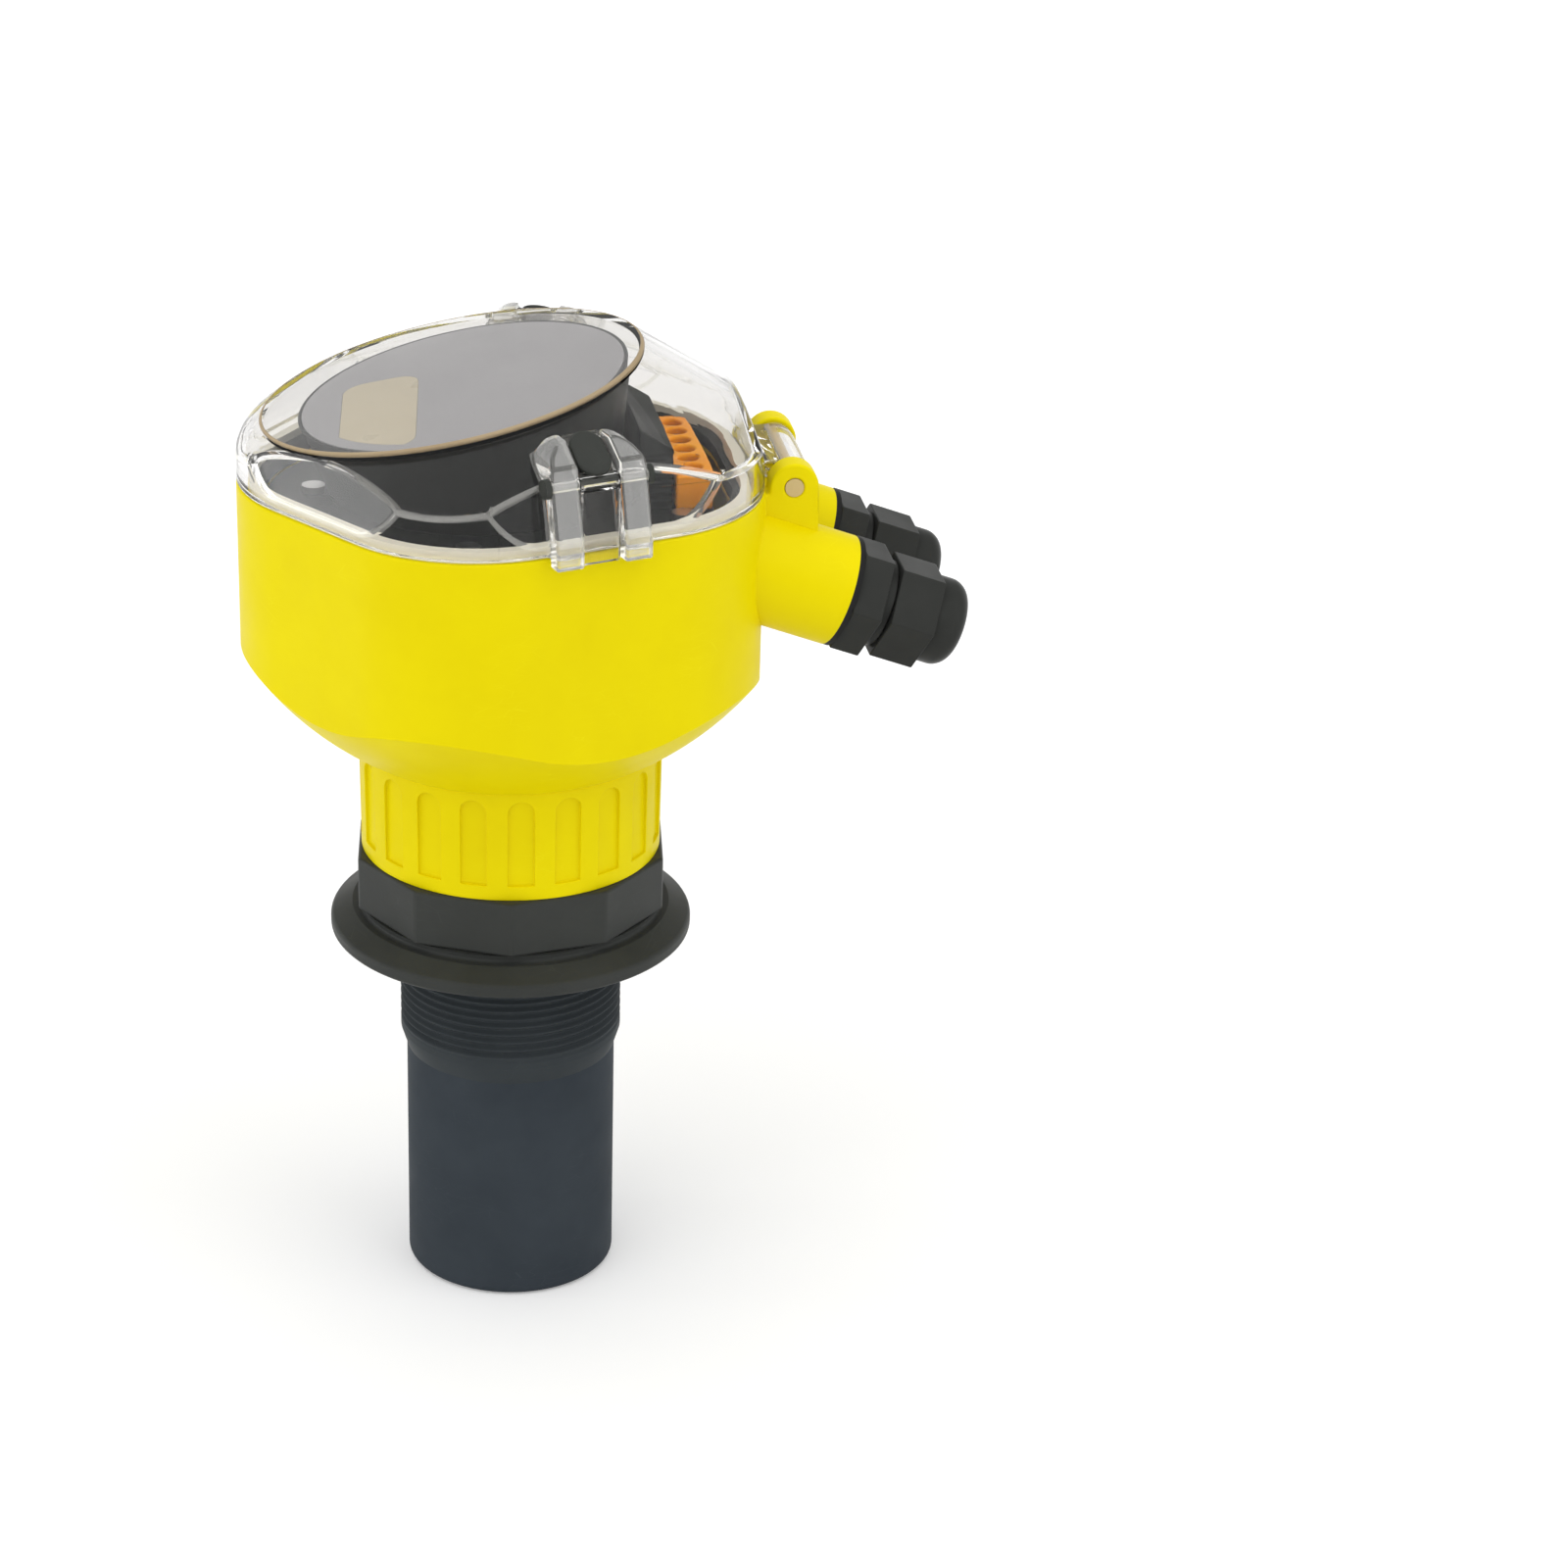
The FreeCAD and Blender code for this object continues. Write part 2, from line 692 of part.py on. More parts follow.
def make_gland(side, sign):
    """Cable gland on a boss: washer, hexagonal body, rubber seal and domed nut, along the boss axis."""
    body_foot = "washer_thickness"
    hex_top = f"{body_foot} + gland_hex_height"
    neck_top = f"{hex_top} + gland_neck_height"
    sleeve_top = f"{neck_top} + gland_sleeve_height"
    nut_foot = f"{neck_top} + gland_nut_gap"
    nut_top = f"{nut_foot} + gland_nut_height"
    dome_top = f"{nut_top} + gland_dome_height"
    where = {"x": "boss_reach", "y": f"{sign} * boss_spacing / 2", "z": "boss_level",
             "axis": Y_AXIS, "turn": "90 + boss_angle"}

    washer = turned("washer_form_" + side, [
        ("gland_thread_radius + bond", "0"),
        ("boss_radius - bond", "0"),
        ("boss_radius - bond", "washer_thickness"),
        ("gland_thread_radius + bond", "washer_thickness"),
    ])
    hexagon = "gland_hex / 2 / cos(30)"
    body = turned("gland_form_" + side, [
        ("gland_bore", "-gland_thread_length"),
        ("gland_thread_radius", "-gland_thread_length"),
        ("gland_thread_radius", body_foot),
        (hexagon, body_foot),
        (hexagon, hex_top),
        ("gland_neck_radius", hex_top),
        ("gland_neck_radius", neck_top),
        ("gland_sleeve_radius", neck_top),
        ("gland_sleeve_radius", sleeve_top),
        ("gland_sleeve_bore", sleeve_top),
        ("gland_sleeve_bore", hex_top),
        ("gland_bore", hex_top),
    ])
    flat = add(body, "SubtractiveBox", "flat",
               {"Length": "gland_hex", "Width": "gland_hex", "Height": "gland_hex_height"},
               x="gland_hex / 2", y="-gland_hex / 2", z=body_foot)
    repeat_round(body, flat, "6")

    nut_corner = "gland_nut_hex / 2 / cos(30)"
    clear_sleeve = "gland_sleeve_radius + gland_nut_gap"
    nut = turned("nut_form_" + side, [
        (clear_sleeve, nut_foot),
        (nut_corner, nut_foot),
        (nut_corner, nut_top),
        ("gland_dome_radius", nut_top),
        ("gland_dome_radius", dome_top),
        ("gland_mouth", dome_top),
        (clear_sleeve, nut_top),
    ])
    nut_flat = add(nut, "SubtractiveBox", "flat",
                   {"Length": "gland_nut_hex", "Width": "gland_nut_hex", "Height": "gland_nut_height"},
                   x="gland_nut_hex / 2", y="-gland_nut_hex / 2", z=nut_foot)
    repeat_round(nut, nut_flat, "6")
    round_edges(nut, "min(gland_dome_round; gland_dome_radius - gland_mouth - over / 2)",
                ring_edge("gland_dome_radius", dome_top))

    seal_foot = hex_top
    seal = turned("gland_seal_form_" + side, [
        ("cable_radius", seal_foot),
        ("gland_sleeve_bore - bond", seal_foot),
        ("gland_sleeve_bore - bond", f"{seal_foot} + seal_length"),
        ("cable_radius", f"{seal_foot} + seal_length"),
    ])
    for thing, label in ((washer, "gland_washer_"), (body, "gland_body_"),
                         (nut, "gland_nut_"), (seal, "gland_seal_")):
        subpart(place(thing, **where), label + side)


def lid_block(name, inset, foot):
    """The lid's outside, or its hollow: pentagon under a cone, with leaning walls and the window plane."""
    walls = new_body(name + "_walls")
    prism(walls, "outline", inset, foot, CLEAR_SPAN)
    reach = f"{LID_REACH} - ({inset})"
    peak = "over"
    dome = turned(name + "_dome", [
        ("0", foot),
        (reach, foot),
        (reach, dome_level(reach, inset)),
        (peak, dome_level(peak, inset)),
        ("0", dome_level(peak, inset)),
    ])
    round_edges(dome, f"lid_shoulder_round - ({inset})", ring_edge(reach, dome_level(reach, inset)))
    add(dome, "SubtractiveBox", "window_cut",
        {"Length": f"{CLEAR_SPAN} * 2", "Width": f"{CLEAR_SPAN} * 2", "Height": CLEAR_SPAN},
        x=f"window_place + ({inset}) * sin(window_angle) - {CLEAR_SPAN} * cos(window_angle)",
        y=f"-{CLEAR_SPAN}",
        z=f"window_level - ({inset}) * cos(window_angle) - {CLEAR_SPAN} * sin(window_angle)",
        axis=Y_AXIS, turn="-window_angle")
    slabs = []
    for index, distance in enumerate(WALL_DISTANCES):
        slab = brick(f"{name}_slab_{index}", CLEAR_SPAN, f"{CLEAR_SPAN} * 2", CLEAR_SPAN)
        slabs.append(leaned(slab, f"{name}_lean_{index}", "-lean_angle", {"turn": str(WALL_TURN * index)},
                            x=f"{distance} - ({inset}) * cos(lean_angle)", y=f"-{CLEAR_SPAN}",
                            z=f"{LID_LEVEL} + lean_height - ({inset}) * sin(lean_angle)"))
    upright = combine("Common", name + "_upright", walls, dome)
    return combine("Cut", name, upright, fuse(name + "_slabs", slabs))


def latch_seat(sign):
    """Where a latch's own frame sits: square to its wall, and moved along the wall towards the front."""
    return {"x": "-latch_shift * sin(latch_angle)", "y": f"{sign} * latch_shift * cos(latch_angle)",
            "turn": f"{sign} * latch_angle"}


def latch_boss(side, seat, skirt):
    """Arched boss on a lid wall, proud of the lid's form, with the slot that the latch rocks in."""
    arch = new_body("latch_arch_" + side)
    add(arch, "AdditiveBox", "jambs",
        {"Length": CLEAR_SPAN, "Width": "latch_width", "Height": "latch_crown - latch_tip"},
        x="latch_inner", y="-latch_width / 2", z="latch_tip")
    round_edges(arch, "latch_corner", upper_corner("latch_width / 2", "latch_crown"))
    add(arch, "SubtractiveBox", "slot",
        {"Length": f"{CLEAR_SPAN} * 2", "Width": "latch_slot", "Height": CLEAR_SPAN},
        x="latch_inner - over", y="-latch_slot / 2", z="latch_tip - over")
    lean_foot = f"{LID_LEVEL} + lean_height"
    face = "side_distance + latch_proud"
    lift = "latch_proud / cos(dome_angle)"
    peak = f"{dome_level('0')} + {lift} - ({lean_foot})"
    brow = f"({face} - ({peak}) * tan(lean_angle)) / (1 - tan(dome_angle) * tan(lean_angle))"
    form = new_body("latch_face_" + side)
    section = profile(form, "section", [
        ("latch_inner", "latch_tip"),
        (face, "latch_tip"),
        (face, lean_foot),
        (brow, f"{dome_level(brow)} + {lift}"),
        ("latch_inner", f"{dome_level('latch_inner')} + {lift}"),
    ])
    pad(form, section, "latch_width", both_ways=True)
    boss = combine("Common", "latch_boss_form_" + side, place(arch, **seat), place(form, **seat))
    return combine("Cut", "latch_boss_" + side, boss, skirt)


def latch_trough(side, seat):
    """Shallow trough in the lid's cone, which the latch's arm rocks down into."""
    trough = new_body("latch_trough_" + side)
    start = "latch_inner - over"
    end = "side_distance + latch_proud + over"
    top = f"{dome_level(start)} + latch_proud * 2"
    section = profile(trough, "section", [
        (start, f"{dome_level(start)} - recess_depth"),
        (end, f"{dome_level(end)} - recess_depth"),
        (end, top),
        (start, top),
    ])
    pad(trough, section, "latch_slot", both_ways=True)
    return place(trough, **seat)


def make_lid():
    """Clear lid: shell, hinge barrel and web, and an arched latch boss on each side wall."""
    outside = lid_block("lid_outside", "0", LID_LEVEL)
    skirt = new_body("lid_skirt")
    prism(skirt, "outline", "-latch_gap", "latch_tip - over", f"{LID_LEVEL} - latch_tip + over")
    half = "boss_spacing / 2 - lug_thickness / 2 - barrel_gap"
    barrel = lengthwise("lid_barrel", "barrel_radius", f"({half}) * 2",
                        x=HINGE_X, y=f"-({half})", z=HINGE_Z, axis=X_AXIS, turn="-90")
    web = brick("lid_web", "hinge_offset + lid_wall / 2", f"({half}) * 2", "web_thickness",
                x="back_distance - lid_wall / 2", y=f"-({half})", z=f"{LID_LEVEL} + lid_gap")
    pieces = [outside, barrel, web]
    hollow = [lid_block("lid_hollow", "lid_wall", f"{LID_LEVEL} - over")]
    hollow.append(lengthwise("barrel_bore", "hinge_pin_radius + hinge_play", "boss_spacing * 2",
                             x=HINGE_X, y="-boss_spacing", z=HINGE_Z, axis=X_AXIS, turn="-90"))
    for side, sign in SIDES.items():
        seat = latch_seat(sign)
        pieces.append(latch_boss(side, seat, skirt))
        bore = new_body("latch_bore_" + side)
        latch_bar(bore, "bar", "latch_pin_radius + bond", "latch_width")
        hollow.append(place(bore, **seat))
        hollow.append(latch_trough(side, seat))
    lid = combine("Cut", "lid_form", fuse("lid_solid", pieces), fuse("lid_core", hollow))
    subpart(lid, "lid")


CLIP_RISE = "clip_thickness / cos(dome_angle)"
PIVOT_Z = f"{dome_level('clip_pivot')} + clip_lift + {CLIP_RISE} / 2 - clip_drop"


def latch_bar(body, name, radius, length, kind="AdditiveCylinder", start=None):
    """A round bar along a latch's pivot, set evenly across it unless its start is given."""
    add(body, kind, name, {"Radius": radius, "Height": length},
        x="clip_pivot", y=start or f"-({length}) / 2", z=PIVOT_Z, axis=X_AXIS, turn="-90")


def make_latch_pin(side, sign):
    """Headed pin through a latch and the jambs of its boss."""
    pin = new_body("latch_pin_form_" + side)
    latch_bar(pin, "shank", "latch_pin_radius", "latch_width + (bond + ear_thickness) * 2")
    inner = "latch_width / 2 + bond"
    for start in (inner, f"-({inner}) - ear_thickness"):
        latch_bar(pin, "ear", "ear_radius", "ear_thickness", start=start)
    subpart(place(pin, **latch_seat(sign)), "latch_pin_" + side)


def make_latch(side, sign):
    """Rocker latch: a bent clear clip on a pin, with a dark thumb pad on its upper arm."""
    seat = latch_seat(sign)
    width = "latch_slot - latch_side_gap * 2"
    inner = "latch_inner + clip_end_gap"
    tongue = "side_distance + latch_gap"
    face = f"{tongue} + clip_thickness"
    under = "clip_lift"
    top = f"clip_lift + {CLIP_RISE}"
    clip = new_body("clip_form_" + side)
    section = profile(clip, "section", [
        (tongue, "latch_tip"),
        (face, "latch_tip"),
        (face, f"{dome_level(face)} + {top}"),
        (inner, f"{dome_level(inner)} + {top}"),
        (inner, f"{dome_level(inner)} + {under}"),
        (tongue, f"{dome_level(tongue)} + {under}"),
    ])
    pad(clip, section, width, both_ways=True)
    latch_bar(clip, "hub", "clip_hub", width)
    latch_bar(clip, "bore", "latch_pin_radius + latch_play", "latch_width", kind="SubtractiveCylinder")
    subpart(place(clip, **seat), "latch_clip_" + side)

    middle = f"{inner} + over / 2 + pad_length / 2 * cos(dome_angle)"
    button = new_body("pad_form_" + side)
    straight = "pad_length - pad_width"
    add(button, "AdditiveBox", "plate", {"Length": straight, "Width": "pad_width", "Height": "pad_height"},
        x=f"-({straight}) / 2", y="-pad_width / 2")
    for end in (-1, 1):
        add(button, "AdditiveCylinder", "end", {"Radius": "pad_width / 2", "Height": "pad_height"},
            x=f"{end} * ({straight}) / 2")
    round_edges(button, "pad_edge", lambda edge: edge.CenterOfMass.z > value("pad_height") - TOUCH)
    seated = leaned(button, "pad_seat_" + side, "dome_angle", seat,
                    x=middle, z=f"{dome_level(middle)} + {top}")
    subpart(seated, "latch_pad_" + side)


def make_hinge_pin():
    """Pin through both lugs and the lid's barrel."""
    length = "boss_spacing + lug_thickness"
    pin = lengthwise("hinge_pin_form", "hinge_pin_radius", length,
                     x=HINGE_X, y=f"-({length}) / 2", z=HINGE_Z, axis=X_AXIS, turn="-90")
    subpart(pin, "hinge_pin")


def make_lid_seal():
    """White seal that stands on the rim just inside the lid's wall."""
    seal = new_body("lid_seal_form")
    prism(seal, "outside", "seal_inset", "rim_level", "seal_height")
    hole = seal.newObject("PartDesign::Pocket", "opening")
    hole.Profile = pentagon(seal, "inside", "seal_inset + seal_width", "rim_level - over")
    hole.Reversed = True
    bind(hole, Length="seal_height + over * 2")
    subpart(seal, "lid_seal")


def round_screws(label, circle, seat):
    """Five screws on a circle, one at each corner of the head, with their heads on a seat level."""
    screws = []
    for index in range(WALLS):
        angle = WALL_TURN * index + WALL_TURN // 2
        screw = turned(f"{label}_{index}", [
            ("0", f"{seat} - screw_length + over"),
            ("screw_radius", f"{seat} - screw_length + over"),
            ("screw_radius", seat),
            ("screw_head_radius", seat),
            ("screw_head_radius", f"{seat} + screw_head_height"),
            ("0", f"{seat} + screw_head_height"),
        ])
        screws.append(place(screw, x=f"{circle} * cos({angle})", y=f"{circle} * sin({angle})"))
    subpart(group(label + "_group", screws), label)


def make_boards():
    """Main board on its posts with a potted power module, and the screws that hold it."""
    board = new_body("board_form")
    add(board, "AdditiveCylinder", "plate",
        {"Radius": "board_radius", "Height": "board_thickness"}, z="board_level")
    hole = add(board, "SubtractiveCylinder", "hole",
               {"Radius": "screw_radius + screw_play", "Height": "board_thickness + over * 2"},
               x="board_post_circle * cos(36)", y="board_post_circle * sin(36)", z="board_level - over")
    repeat_round(board, hole, str(WALLS))
    subpart(board, "main_board")
    module = brick("power_form", "power_length", "power_width", "power_height",
                   x="-power_length / 2", y="-power_width / 2", z=BOARD_TOP)
    subpart(module, "power_module")
    round_screws("board_screws", "board_post_circle", BOARD_TOP)
    round_screws("cover_screws", "cover_post_circle", COVER_TOP)


def make_cover():
    """Dark deck over the electronics, open towards the hinge for the cables."""
    cover = new_body("cover_form")
    prism(cover, "outline", "rim_width + cover_gap", "cover_level", "cover_thickness")
    add(cover, "SubtractiveBox", "cable_gap",
        {"Length": CLEAR_SPAN, "Width": "cable_gap_width", "Height": "cover_thickness + over * 2"},
        x="cable_gap_start", y="-cable_gap_width / 2", z="cover_level - over")
    hole = add(cover, "SubtractiveCylinder", "hole",
               {"Radius": "screw_radius + screw_play", "Height": "cover_thickness + over * 2"},
               x="cover_post_circle * cos(36)", y="cover_post_circle * sin(36)", z="cover_level - over")
    repeat_round(cover, hole, str(WALLS))
    subpart(cover, "inner_cover")


def under_window(thing, depth):
    """Set a thing square to the lid's window, a depth below the window's outer face."""
    return place(thing, x=f"window_place + ({depth}) * sin(window_angle)",
                 z=f"window_level - ({depth}) * cos(window_angle)", axis=Y_AXIS, turn="-window_angle")


def lcd_plate(name, margin):
    """Plate for the screen, round-cornered and kept inside a circle, cut back by a margin."""
    disc = lengthwise(name + "_disc", f"lcd_circle - ({margin})", "face_thickness")
    slab = new_body(name + "_slab")
    add(slab, "AdditiveBox", "block",
        {"Length": f"lcd_edge - lcd_start - ({margin}) * 2", "Width": f"lcd_near + lcd_far - ({margin}) * 2",
         "Height": "face_thickness"},
        x=f"lcd_start + ({margin})", y=f"-lcd_near + ({margin})")
    round_edges(slab, f"lcd_corner - ({margin})", upright_edge)
    place(slab, turn="lcd_angle")
    return combine("Common", name, disc, slab)


def make_display():
    """Dark display drum that rises from the deck to just under the window, with its face and screen."""
    top_depth = "lid_wall + display_gap"
    foot_radius = "display_radius - display_depth * tan(display_angle)"
    recess = "display_radius - bezel_width"
    drum = turned("drum_form", [
        ("0", "-display_depth"),
        (foot_radius, "-display_depth"),
        ("display_radius", "0"),
        (recess, "0"),
        (recess, "-face_thickness"),
        ("0", "-face_thickness"),
    ])
    under_window(drum, top_depth)
    below = brick("below_deck", f"{CLEAR_SPAN} * 2", f"{CLEAR_SPAN} * 2", CLEAR_SPAN,
                  x=f"-{CLEAR_SPAN}", y=f"-{CLEAR_SPAN}", z=f"{COVER_TOP} - {CLEAR_SPAN}")
    subpart(combine("Cut", "display_form", drum, below), "display_module")

    face = new_body("face_form")
    add(face, "AdditiveCylinder", "disc", {"Radius": f"{recess} - face_play", "Height": "face_thickness"})
    seat_depth = f"{top_depth} + face_thickness"
    opening = lcd_plate("lcd_opening", "0")
    cut = combine("Cut", "face_cut", face, opening)
    subpart(under_window(cut, seat_depth), "display_face")
    subpart(under_window(lcd_plate("lcd_form", "face_play"), seat_depth), "lcd_window")


def make_terminals():
    """Ribbed dark hood behind the display and the amber terminal block beside it, with its screws."""
    hood = new_body("hood_form")
    add(hood, "AdditiveBox", "block",
        {"Length": "hood_length", "Width": "hood_width", "Height": "hood_height"},
        x="hood_start", y="-hood_width / 2", z=COVER_TOP)
    slope_foot = f"{COVER_TOP} + hood_height * 0.6"
    add(hood, "SubtractiveBox", "slope",
        {"Length": CLEAR_SPAN, "Width": "hood_width + over * 2", "Height": CLEAR_SPAN},
        x="hood_start + hood_length", y="-hood_width / 2 - over", z=slope_foot,
        axis=Y_AXIS, turn="-90 + dome_angle")
    pitch = "hood_height * 0.5 / hood_rib_count"
    for index in range(int(value("hood_rib_count"))):
        for side in SIDES.values():
            add(hood, "SubtractiveBox", "rib",
                {"Length": "hood_length + over * 2", "Width": "hood_rib_depth", "Height": f"{pitch} / 2"},
                x="hood_start - over",
                y=f"{side} * (hood_width / 2 - hood_rib_depth / 2) - hood_rib_depth / 2",
                z=f"{COVER_TOP} + {pitch} * {index + 1}")
    subpart(hood, "terminal_hood")

    block = new_body("terminal_form")
    top = f"{COVER_TOP} + terminal_height"
    add(block, "AdditiveBox", "block",
        {"Length": "terminal_length", "Width": "terminal_width", "Height": "terminal_height"},
        x="terminal_start", y="-terminal_width / 2", z=COVER_TOP)
    screws = []
    for index in range(int(value("terminal_count"))):
        y = f"({index} - (terminal_count - 1) / 2) * terminal_pitch"
        x = "terminal_start + terminal_length / 2"
        add(block, "SubtractiveCylinder", "well",
            {"Radius": "terminal_well_radius", "Height": "terminal_well_depth + over"},
            x=x, y=y, z=f"{top} - terminal_well_depth")
        add(block, "SubtractiveCylinder", "wire_hole",
            {"Radius": "terminal_wire_radius", "Height": "terminal_length / 2"},
            x=f"{x} + over", y=y, z=f"{COVER_TOP} + terminal_height / 3", axis=Y_AXIS, turn="90")
        screws.append(lengthwise(f"terminal_screw_{index}", "terminal_screw_radius", "terminal_screw_height",
                                 x=x, y=y, z=f"{top} - terminal_well_depth"))
    subpart(block, "terminal_block")
    subpart(group("terminal_screw_group", screws), "terminal_screws")


def check():
    """Stop if an object failed to compute or a sub-part has no sound solid."""
    for thing in document.Objects:
        if "Invalid" in thing.State or "Error" in thing.State:
            raise RuntimeError(f"{thing.Name} failed: {thing.State}")
    for thing in SUBPARTS:
        if thing.Shape.isNull() or not thing.Shape.isValid() or not thing.Shape.Solids:
            raise RuntimeError(f"{thing.Label} has no sound solid")


def main():
    """Build every sub-part, check them and write their files."""
    make_sleeve()
    make_collar()
    make_sensor()
    make_neck()
    make_housing()
    for side, sign in SIDES.items():
        make_gland(side, sign)
    make_lid()
    for side, sign in SIDES.items():
        make_latch(side, sign)
        make_latch_pin(side, sign)
    make_hinge_pin()
    make_lid_seal()
    make_boards()
    make_cover()
    make_display()
    make_terminals()
    document.recompute()
    check()
    os.makedirs("parts", exist_ok=True)
    for thing in SUBPARTS:
        thing.Shape.exportStep(f"parts/{thing.Label}.step")


main()
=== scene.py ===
"""Looks of an ultrasonic flow meter: a yellow head with a clear lid on a black threaded sensor."""

import json
import logging
import math
from dataclasses import dataclass, field
from enum import Enum
from typing import Callable, Iterable, Optional, Sequence

import bmesh
import bpy
import numpy as np
from mathutils import Matrix, Vector

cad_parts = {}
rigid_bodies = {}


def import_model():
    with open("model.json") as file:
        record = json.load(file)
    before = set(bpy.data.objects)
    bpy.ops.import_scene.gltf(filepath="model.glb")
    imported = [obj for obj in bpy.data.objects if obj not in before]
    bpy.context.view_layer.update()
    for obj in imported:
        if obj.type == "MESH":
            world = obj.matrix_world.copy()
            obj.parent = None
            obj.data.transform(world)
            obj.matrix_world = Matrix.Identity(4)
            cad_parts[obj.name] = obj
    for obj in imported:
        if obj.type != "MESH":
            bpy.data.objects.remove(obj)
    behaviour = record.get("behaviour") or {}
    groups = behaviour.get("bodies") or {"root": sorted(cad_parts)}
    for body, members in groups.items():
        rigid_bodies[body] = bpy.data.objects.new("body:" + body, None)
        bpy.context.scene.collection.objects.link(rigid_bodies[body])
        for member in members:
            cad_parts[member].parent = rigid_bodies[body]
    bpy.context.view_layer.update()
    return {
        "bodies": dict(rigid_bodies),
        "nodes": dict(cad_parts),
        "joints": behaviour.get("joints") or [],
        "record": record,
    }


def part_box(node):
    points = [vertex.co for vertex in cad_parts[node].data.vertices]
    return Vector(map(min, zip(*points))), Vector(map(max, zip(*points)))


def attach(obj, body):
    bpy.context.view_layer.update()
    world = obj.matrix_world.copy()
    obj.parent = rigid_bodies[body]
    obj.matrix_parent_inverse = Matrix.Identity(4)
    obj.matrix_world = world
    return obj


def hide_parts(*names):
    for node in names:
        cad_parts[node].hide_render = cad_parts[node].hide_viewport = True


log = logging.getLogger("flow_meter")

MM = 0.001
CREASE_ANGLE = 11.0
FLAT_ANGLE = 0.5
MERGE_DISTANCE = 0.01 * MM
GRAIN_DEPTH = 0.4 * MM
WAVE_DEPTH = 0.5 * MM
BEVEL_WEIGHT = "bevel_weight_edge"
IMPORTED_SHADING = ("custom_normal", "sharp_edge", "sharp_face")
Colour = tuple[float, float, float]


class Side(Enum):
    """The two mirrored sides of the head, as the sign of Y."""

    NEAR = -1
    FAR = 1


class Socket(Enum):
    """Kinds of node group sockets."""

    COLOUR = "NodeSocketColor"
    VALUE = "NodeSocketFloat"


def both(name: str, value) -> dict:
    """Give one value to a node of each side.

    Args:
        name: the nodes' name without a side.
        value: what both nodes get.

    Returns:
        The value by node name.
    """
    return {f"{name}_{side.name.lower()}": value for side in Side}


def linear(red: int, green: int, blue: int) -> Colour:
    """Turn an sRGB colour of 0 to 255 into a linear one.

    Args:
        red: red byte.
        green: green byte.
        blue: blue byte.

    Returns:
        The linear colour, with each channel from 0 to 1.
    """
    scaled = np.array([red, green, blue]) / 255.0
    value = np.where(scaled <= 0.04045, scaled / 12.92, ((scaled + 0.055) / 1.055) ** 2.4)
    return tuple(float(channel) for channel in value)


class Nodes:
    """A small writer of shader nodes in one tree."""

    def __init__(self, tree: bpy.types.NodeTree) -> None:
        """Start on a tree."""
        self.tree = tree

    def add(self, kind: str, inputs: Optional[dict] = None, **settings) -> bpy.types.Node:
        """Add one node.

        Args:
            kind: Blender's name of the node, without its ShaderNode prefix.
            inputs: values or output sockets by input name or number.
            settings: attributes set on the node itself.

        Returns:
            The new node.
        """
        node = self.tree.nodes.new("ShaderNode" + kind)
        for name, setting in settings.items():
            setattr(node, name, setting)
        for name, value in (inputs or {}).items():
            if isinstance(value, bpy.types.NodeSocket):
                self.tree.links.new(value, node.inputs[name])
            else:
                node.inputs[name].default_value = value
        return node

    def mix(self, share, low, high) -> bpy.types.NodeSocket:
        """Mix two colours by a share.

        Args:
            share: a value or socket from 0 to 1.
            low: the colour at 0.
            high: the colour at 1.

        Returns:
            The mixed colour's socket.
        """
        node = self.add("Mix", data_type="RGBA")
        for index, value in ((0, share), (6, low), (7, high)):
            if isinstance(value, bpy.types.NodeSocket):
                self.tree.links.new(value, node.inputs[index])
            else:
                node.inputs[index].default_value = (*value, 1) if index and len(value) == 3 else value
        return node.outputs[2]

    def math(self, operation: str, first, second=0.0) -> bpy.types.NodeSocket:
        """Work out one sum of two values or sockets, and return its socket."""
        return self.add("Math", {0: first, 1: second}, operation=operation).outputs[0]

    def spread(self, value, low: float, high: float, to_low: float = 0.0, to_high: float = 1.0):
        """Map a span of values to another span, held at its ends, and return its socket."""
        node = self.add("MapRange", {0: value, 1: low, 2: high, 3: to_low, 4: to_high}, clamp=True)
        return node.outputs[0]


@dataclass(frozen=True)
class GroupPort:
    """One named input or output of a shared effect."""

    name: str
    kind: Socket
    default: object = None


